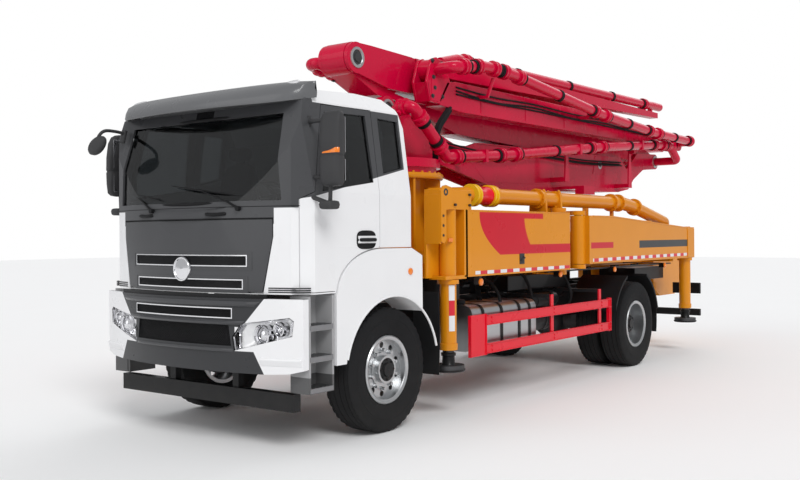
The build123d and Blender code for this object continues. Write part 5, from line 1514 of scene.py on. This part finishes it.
made.rod((0.700, 2.200, 1.000), (0.700, 2.200, 1.030), 0.030, 16)
made.piece("tank_cap", "chassis", PLASTIC)
made = Shape()
made.lathe([(-0.230, 0.001), (-0.230, 0.140), (-0.215, 0.155), (-0.205, 0.148), (0.10, 0.148), (0.11, 0.156),
            (0.225, 0.150),
            (0.232, 0.130), (0.234, 0.001)], (0.800, 1.130, 1.040), "z", 36)
made.tube(smooth_path([(0.800, 1.130, 1.270), (0.780, 1.120, 1.340), (0.640, 1.060, 1.390),
                       (0.500, 0.960, 1.360)], 5), 0.060, 16)
made.piece("air_cleaner", "chassis", PLASTIC, 0.002)
made = Shape()
for y0, y1, x, z, r in ((2.820, 3.620, 0.720, 0.700, 0.125), (3.060, 3.760, 0.760, 0.935, 0.090)):
    made.lathe([(0, 0.001), (0.006, r * 0.6), (0.030, r * 0.93), (0.05, r), (y1 - y0 - 0.05, r),
                (y1 - y0 - 0.03, r * 0.93),
                (y1 - y0 - 0.006, r * 0.6), (y1 - y0, 0.001)], (x, y0, z), "y", 36)
    for y in (y0 + 0.18, y1 - 0.18):
        made.lathe([(-0.018, r + 0.001), (-0.018, r + 0.006), (0.018, r + 0.006), (0.018, r + 0.001)],
                   (x, y, z), "y", 36)
        made.box(x - 0.300, x - 0.02, y - 0.020, y + 0.020, z + r * 0.2, z + r * 0.2 + 0.02)
made.piece("air_tanks", "chassis", PAINT_BLACK)
made = Shape()
for k, (x, y0, y1, z) in enumerate(((0.560, 2.70, 3.90, 1.090), (0.580, 2.60, 4.20, 1.130),
                                    (0.600, 2.50, 4.40, 1.060))):
    made.tube(smooth_path([(x, y0, z), (x + 0.05, y0 + 0.35, z - 0.10 - 0.03 * k),
                           (x + 0.04, (y0 + y1) / 2, z - 0.02),
                           (x + 0.06, y1 - 0.3, z - 0.12), (x, y1, z)], 6), 0.014, 8)
for k, (y, lift) in enumerate(((1.95, 0.10), (2.62, 0.16), (3.55, 0.14))):
    made.tube(smooth_path([(0.520, y, 1.05), (0.70, y + 0.04, 1.12 + lift), (0.93, y + 0.10, 1.10 + lift),
                           (1.02, y + 0.16, 0.98), (0.90, y + 0.20, 0.80)], 6), 0.017, 8)
made.piece("frame_hoses", "chassis", RUBBER)
made = Shape()
for s in (-1, 1):
    made.box(s * 0.36, s * 0.98, 1.340, 1.400, 1.060, 1.250)
    made.side([(2.80, 1.060), (4.20, 1.060), (4.20, 1.235), (2.80, 1.235)], s * 0.47, s * 0.70)
    made.side([(5.60, 1.070), (6.60, 1.070), (6.60, 1.240), (5.60, 1.240)], s * 0.48, s * 1.00)
made.piece("valve_boxes", "chassis", PAINT_BLACK, 0.010)

# ---------------------------------------------------------------- boom plates
# Side plates of the first section, up to the second one's underside.
made = Shape()
for s in (-1, 1):
    made.side([(2.62, 2.690), (3.15, 2.330), (7.18, 2.380), (7.18, 2.690), (6.95, 2.850), (2.95, 2.780)],
              s * 0.1525, s * 0.192)
made.piece("arm_1_side_plates", "arm_1", PAINT_CRIMSON, 0.004)
# Stiffening strips along the plates' lower edges, and lightening plates round the cylinders' pins.
made = Shape()
for s in (-1, 1):
    made.side([(3.42, 2.236), (6.88, 2.326), (6.88, 2.350), (3.42, 2.262)], s * 0.188, s * 0.204)
    made.side([(2.98, 2.766), (6.93, 2.836), (6.93, 2.852), (2.98, 2.782)], s * 0.188, s * 0.202)
    made.side([(6.02, 2.56), (6.48, 2.56), (6.40, 2.82), (6.10, 2.82)], s * 0.190, s * 0.198)
made.piece("arm_1_strips", "arm_1", PAINT_CRIMSON, 0.002)
made = Shape()
for s in (-1, 1):
    made.side([(1.75, 3.575), (6.00, 3.480), (6.00, 3.498), (1.75, 3.598)], s * 0.188, s * 0.200)
    made.side([(1.75, 3.225), (8.10, 3.184), (8.10, 3.204), (1.75, 3.245)], s * 0.188, s * 0.200)
made.piece("arm_3_strips", "arm_3", PAINT_CRIMSON, 0.002)

# The fourth section: a box with fork plates at its front end, and the pipe it carries.
made = Shape()
LEFT_SLAB = (0.280, 0.480)
made.side([(8.540, 3.270), (8.540, 3.070), (6.000, 3.050), (2.200, 3.040), (1.800, 3.078), (1.800, 3.316),
           (2.100, 3.360),
           (6.000, 3.360), (8.200, 3.280)], LEFT_SLAB[0], LEFT_SLAB[1])
for x0, x1 in ((LEFT_SLAB[0], 0.310), (0.450, LEFT_SLAB[1])):
    made.side([(1.620, 3.100), (1.800, 3.090), (2.000, 3.350), (1.870, 3.480), (1.830, 3.548), (1.740, 3.578),
               (1.650, 3.548), (1.612, 3.450), (1.560, 3.300)], x0, x1)
made.side([(1.622, 3.102), (1.640, 3.096), (1.592, 3.296), (1.572, 3.300)], LEFT_SLAB[0], LEFT_SLAB[1])
made.lathe([(-0.100, 0.061), (-0.100, 0.130), (0.100, 0.130), (0.100, 0.061)], (0.380, 8.600, 3.170), "x",
           40, closed=True)
made.piece("arm_4_box", "arm_4", PAINT_CRIMSON, 0.006, stands_for=("arm_4",))
made = Shape()
made.side([(1.640, 3.115), (1.780, 3.110), (1.940, 3.340), (1.850, 3.450), (1.640, 3.330)], 0.478, 0.485)
for y in (2.60, 3.60, 4.60, 5.60, 6.60, 7.60):
    made.side([(y, 3.070), (y + 0.016, 3.070), (y + 0.016, 3.300 - 0.010 * (y - 2)),
               (y, 3.300 - 0.010 * (y - 2))], 0.478, 0.486)
made.side([(2.20, 3.040), (8.45, 3.066), (8.45, 3.082), (2.20, 3.056)], 0.478, 0.487)
made.piece("arm_4_ribs", "arm_4", PAINT_CRIMSON, 0.002)
made = Shape()
made.tube(smooth_corners([(0.492, 8.600, 3.170), (0.700, 8.600, 3.170), (0.700, 7.000, 3.195),
                          (0.700, 5.200, 3.295),
                          (0.700, 2.900, 3.525), (0.700, 2.350, 3.535), (0.700, 1.740, 3.450),
                          (0.490, 1.740, 3.450)],
                         0.13), 0.062, 24)
for y, z in ((7.900, 3.185), (6.400, 3.228), (5.000, 3.316), (2.550, 3.470)):
    made.tube([(0.478, y, 3.240), (0.600, y, 3.235), (0.680, y, z - 0.03)], 0.022, 10)
made.piece("arm_4_pipe", "arm_4", PAINT_CRIMSON, angle=50)

# ---------------------------------------------------------------- ring bolts, boom pins and hoses
made = Shape()
for k in range(32):
    a = math.tau * k / 32
    made.rod((0.570 * math.cos(a), 1.470 + 0.570 * math.sin(a), 2.338),
             (0.570 * math.cos(a), 1.470 + 0.570 * math.sin(a), 2.358),
             0.013, 6)
made.lathe([(-0.004, 0.560), (-0.004, 0.607), (-0.020, 0.612), (-0.044, 0.612), (-0.056, 0.606),
            (-0.060, 0.560)],
           (0, 1.470, 2.342), "z", 96)
made.piece("pedestal_bolts", "chassis", PAINT_YELLOW)

PINS = (       # body, pivot's station and z, half width where the pin ends, radius
    ("turret", 1.200, 3.000, 0.245, 0.075), ("arm_1", 8.300, 2.860, 0.190, 0.075),
    ("arm_3", 0.780, 3.470, 0.190, 0.082),
    ("arm_1", 6.250, 2.700, 0.190, 0.040))
for k, (body, y, z, half, r) in enumerate(PINS):
    made = Shape()
    dark = Shape()
    for s in (-1, 1):
        made.lathe([(0, r + 0.024), (s * 0.010, r + 0.022), (s * 0.012, r - 0.004), (s * 0.004, r - 0.010)],
                   (s * half, y, z), "x", 40)
        dark.lathe([(s * 0.002, r - 0.006), (s * 0.006, r * 0.62), (s * 0.018, r * 0.58), (s * 0.020, 0.001)],
                   (s * half, y, z), "x", 32)
    made.piece(f"pin_ring_{k}", body, RIM)
    dark.piece(f"pin_core_{k}", body, IRON)
for k, (body, y, z, x, r) in enumerate((("arm_3", 8.600, 3.170, 0.492, 0.058),
                                        ("arm_5", 1.740, 3.450, 0.488, 0.058))):
    made = Shape()
    made.lathe([(0, r), (0.014, r), (0.018, r * 0.6), (0.019, 0.001)], (x, y, z), "x", 32)
    made.piece(f"left_pin_{k}", body, IRON)
made = Shape()
for y, z in ((1.66, 3.16), (1.70, 3.25), (1.84, 3.17), (1.68, 3.36), (1.66, 3.53), (1.83, 3.52)):
    made.lathe([(0, 0.024), (0.006, 0.024), (0.008, 0.016), (0.020, 0.015), (0.021, 0.001)], (0.480, y, z),
               "x", 24)
made.piece("arm_4_fork_bolts", "arm_4", IRON)

# The bundle of sleeved hoses that loops from the turret up to the boom's foot.
made = Shape()
for k in range(4):
    dx = 0.030 * (k % 2)
    dz = 0.034 * (k // 2)
    made.tube(smooth_path([(0.470 + dx, 1.700, 2.500 + dz), (0.520 + dx, 1.640, 2.620 + dz),
                           (0.535 + dx, 1.660, 2.800 + dz),
                           (0.520 + dx, 1.830, 2.960 + dz), (0.430 + dx, 2.020, 3.040 + dz)], 7), 0.020, 10)
made.piece("turret_hoses", "turret", RUBBER)
made = Shape()
for k, (x, rise) in enumerate(((0.205, 0.0), (0.222, 0.03), (0.240, -0.02))):
    made.tube(smooth_path([(x, 2.30, 2.700 + rise), (x + 0.03, 3.20, 2.640 + rise),
                           (x + 0.01, 4.40, 2.720 + rise),
                           (x + 0.02, 5.60, 2.700 + rise), (x, 6.90, 2.740 + rise)], 8), 0.011, 8)
made.piece("arm_1_hoses", "arm_1", RUBBER)
made = Shape()
for k, (z, sag) in enumerate(((3.300, 0.03), (3.260, 0.045), (3.225, 0.02))):
    made.tube(smooth_path([(0.486, 2.10, z), (0.500, 2.90, z - sag), (0.492, 3.80, z - 0.01),
                           (0.500, 4.80, z - sag),
                           (0.492, 5.80, z - 0.02), (0.498, 6.80, z - sag - 0.01), (0.486, 8.00, z - 0.05)],
                           7), 0.010, 8)
made.piece("arm_4_hoses", "arm_4", RUBBER)


# ---------------------------------------------------------------- floor, camera and lights
FLOOR_HALF = 60.0
made = Shape()
made.box(-FLOOR_HALF, FLOOR_HALF, -FLOOR_HALF, FLOOR_HALF, -0.02, 0.0)
floor = Finish("pale floor", Roughness=0.9)
floor.colour(floor.blend(floor.noise(0.6), (0.95, 0.95, 0.95), (0.97, 0.97, 0.97)))
mesh = bpy.data.meshes.new("floor")
made.bm.to_mesh(mesh)
mesh.materials.append(floor.material)
ground = bpy.data.objects.new("floor", mesh)
bpy.context.scene.collection.objects.link(ground)

world = bpy.data.worlds.new("World")
world.use_nodes = True
bpy.context.scene.world = world
background = world.node_tree.nodes["Background"]
path = world.node_tree.nodes.new("ShaderNodeLightPath")
background.inputs["Color"].default_value = (0.93, 0.94, 0.96, 1)
backdrop = world.node_tree.nodes.new("ShaderNodeBackground")
backdrop.inputs["Color"].default_value = (1, 1, 1, 1)
backdrop.inputs["Strength"].default_value = 1.0
background.inputs["Strength"].default_value = 0.50
switch = world.node_tree.nodes.new("ShaderNodeMixShader")
world.node_tree.links.new(path.outputs["Is Camera Ray"], switch.inputs[0])
world.node_tree.links.new(background.outputs[0], switch.inputs[1])
world.node_tree.links.new(backdrop.outputs[0], switch.inputs[2])
world.node_tree.links.new(switch.outputs[0], world.node_tree.nodes["World Output"].inputs[0])

LAMPS = (      # name, direction towards the lamp, strength, softness in degrees
    ("key", (0.70, -0.45, 0.72), 1.55, 25.0),
    ("fill", (-0.35, -0.85, 0.40), 0.50, 50.0),
    ("rim", (-0.20, 0.80, 0.60), 0.50, 50.0),
)
for name, direction, strength, softness in LAMPS:
    lamp = bpy.data.lights.new(name, "SUN")
    lamp.energy = strength
    lamp.angle = math.radians(softness)
    holder = bpy.data.objects.new(name, lamp)
    holder.rotation_euler = Vector(direction).to_track_quat("Z", "Y").to_euler()
    bpy.context.scene.collection.objects.link(holder)

lens_data = bpy.data.cameras.new("camera")
lens_data.sensor_width = 36.0
lens_data.lens = 42.91
lens_data.shift_y = -0.0064
lens_data.clip_end = 300.0
camera = bpy.data.objects.new("camera", lens_data)
camera.location = (6.242, -10.197, 1.7065)
yaw = math.radians(37.24)
roll = math.radians(-0.38)
camera.rotation_euler = (Matrix.Rotation(yaw, 4, "Z") @ Matrix.Rotation(math.pi / 2, 4, "X")
                         @ Matrix.Rotation(roll, 4, "Z")).to_euler()
bpy.context.scene.collection.objects.link(camera)
bpy.context.scene.camera = camera
bpy.context.scene.view_settings.view_transform = "Standard"
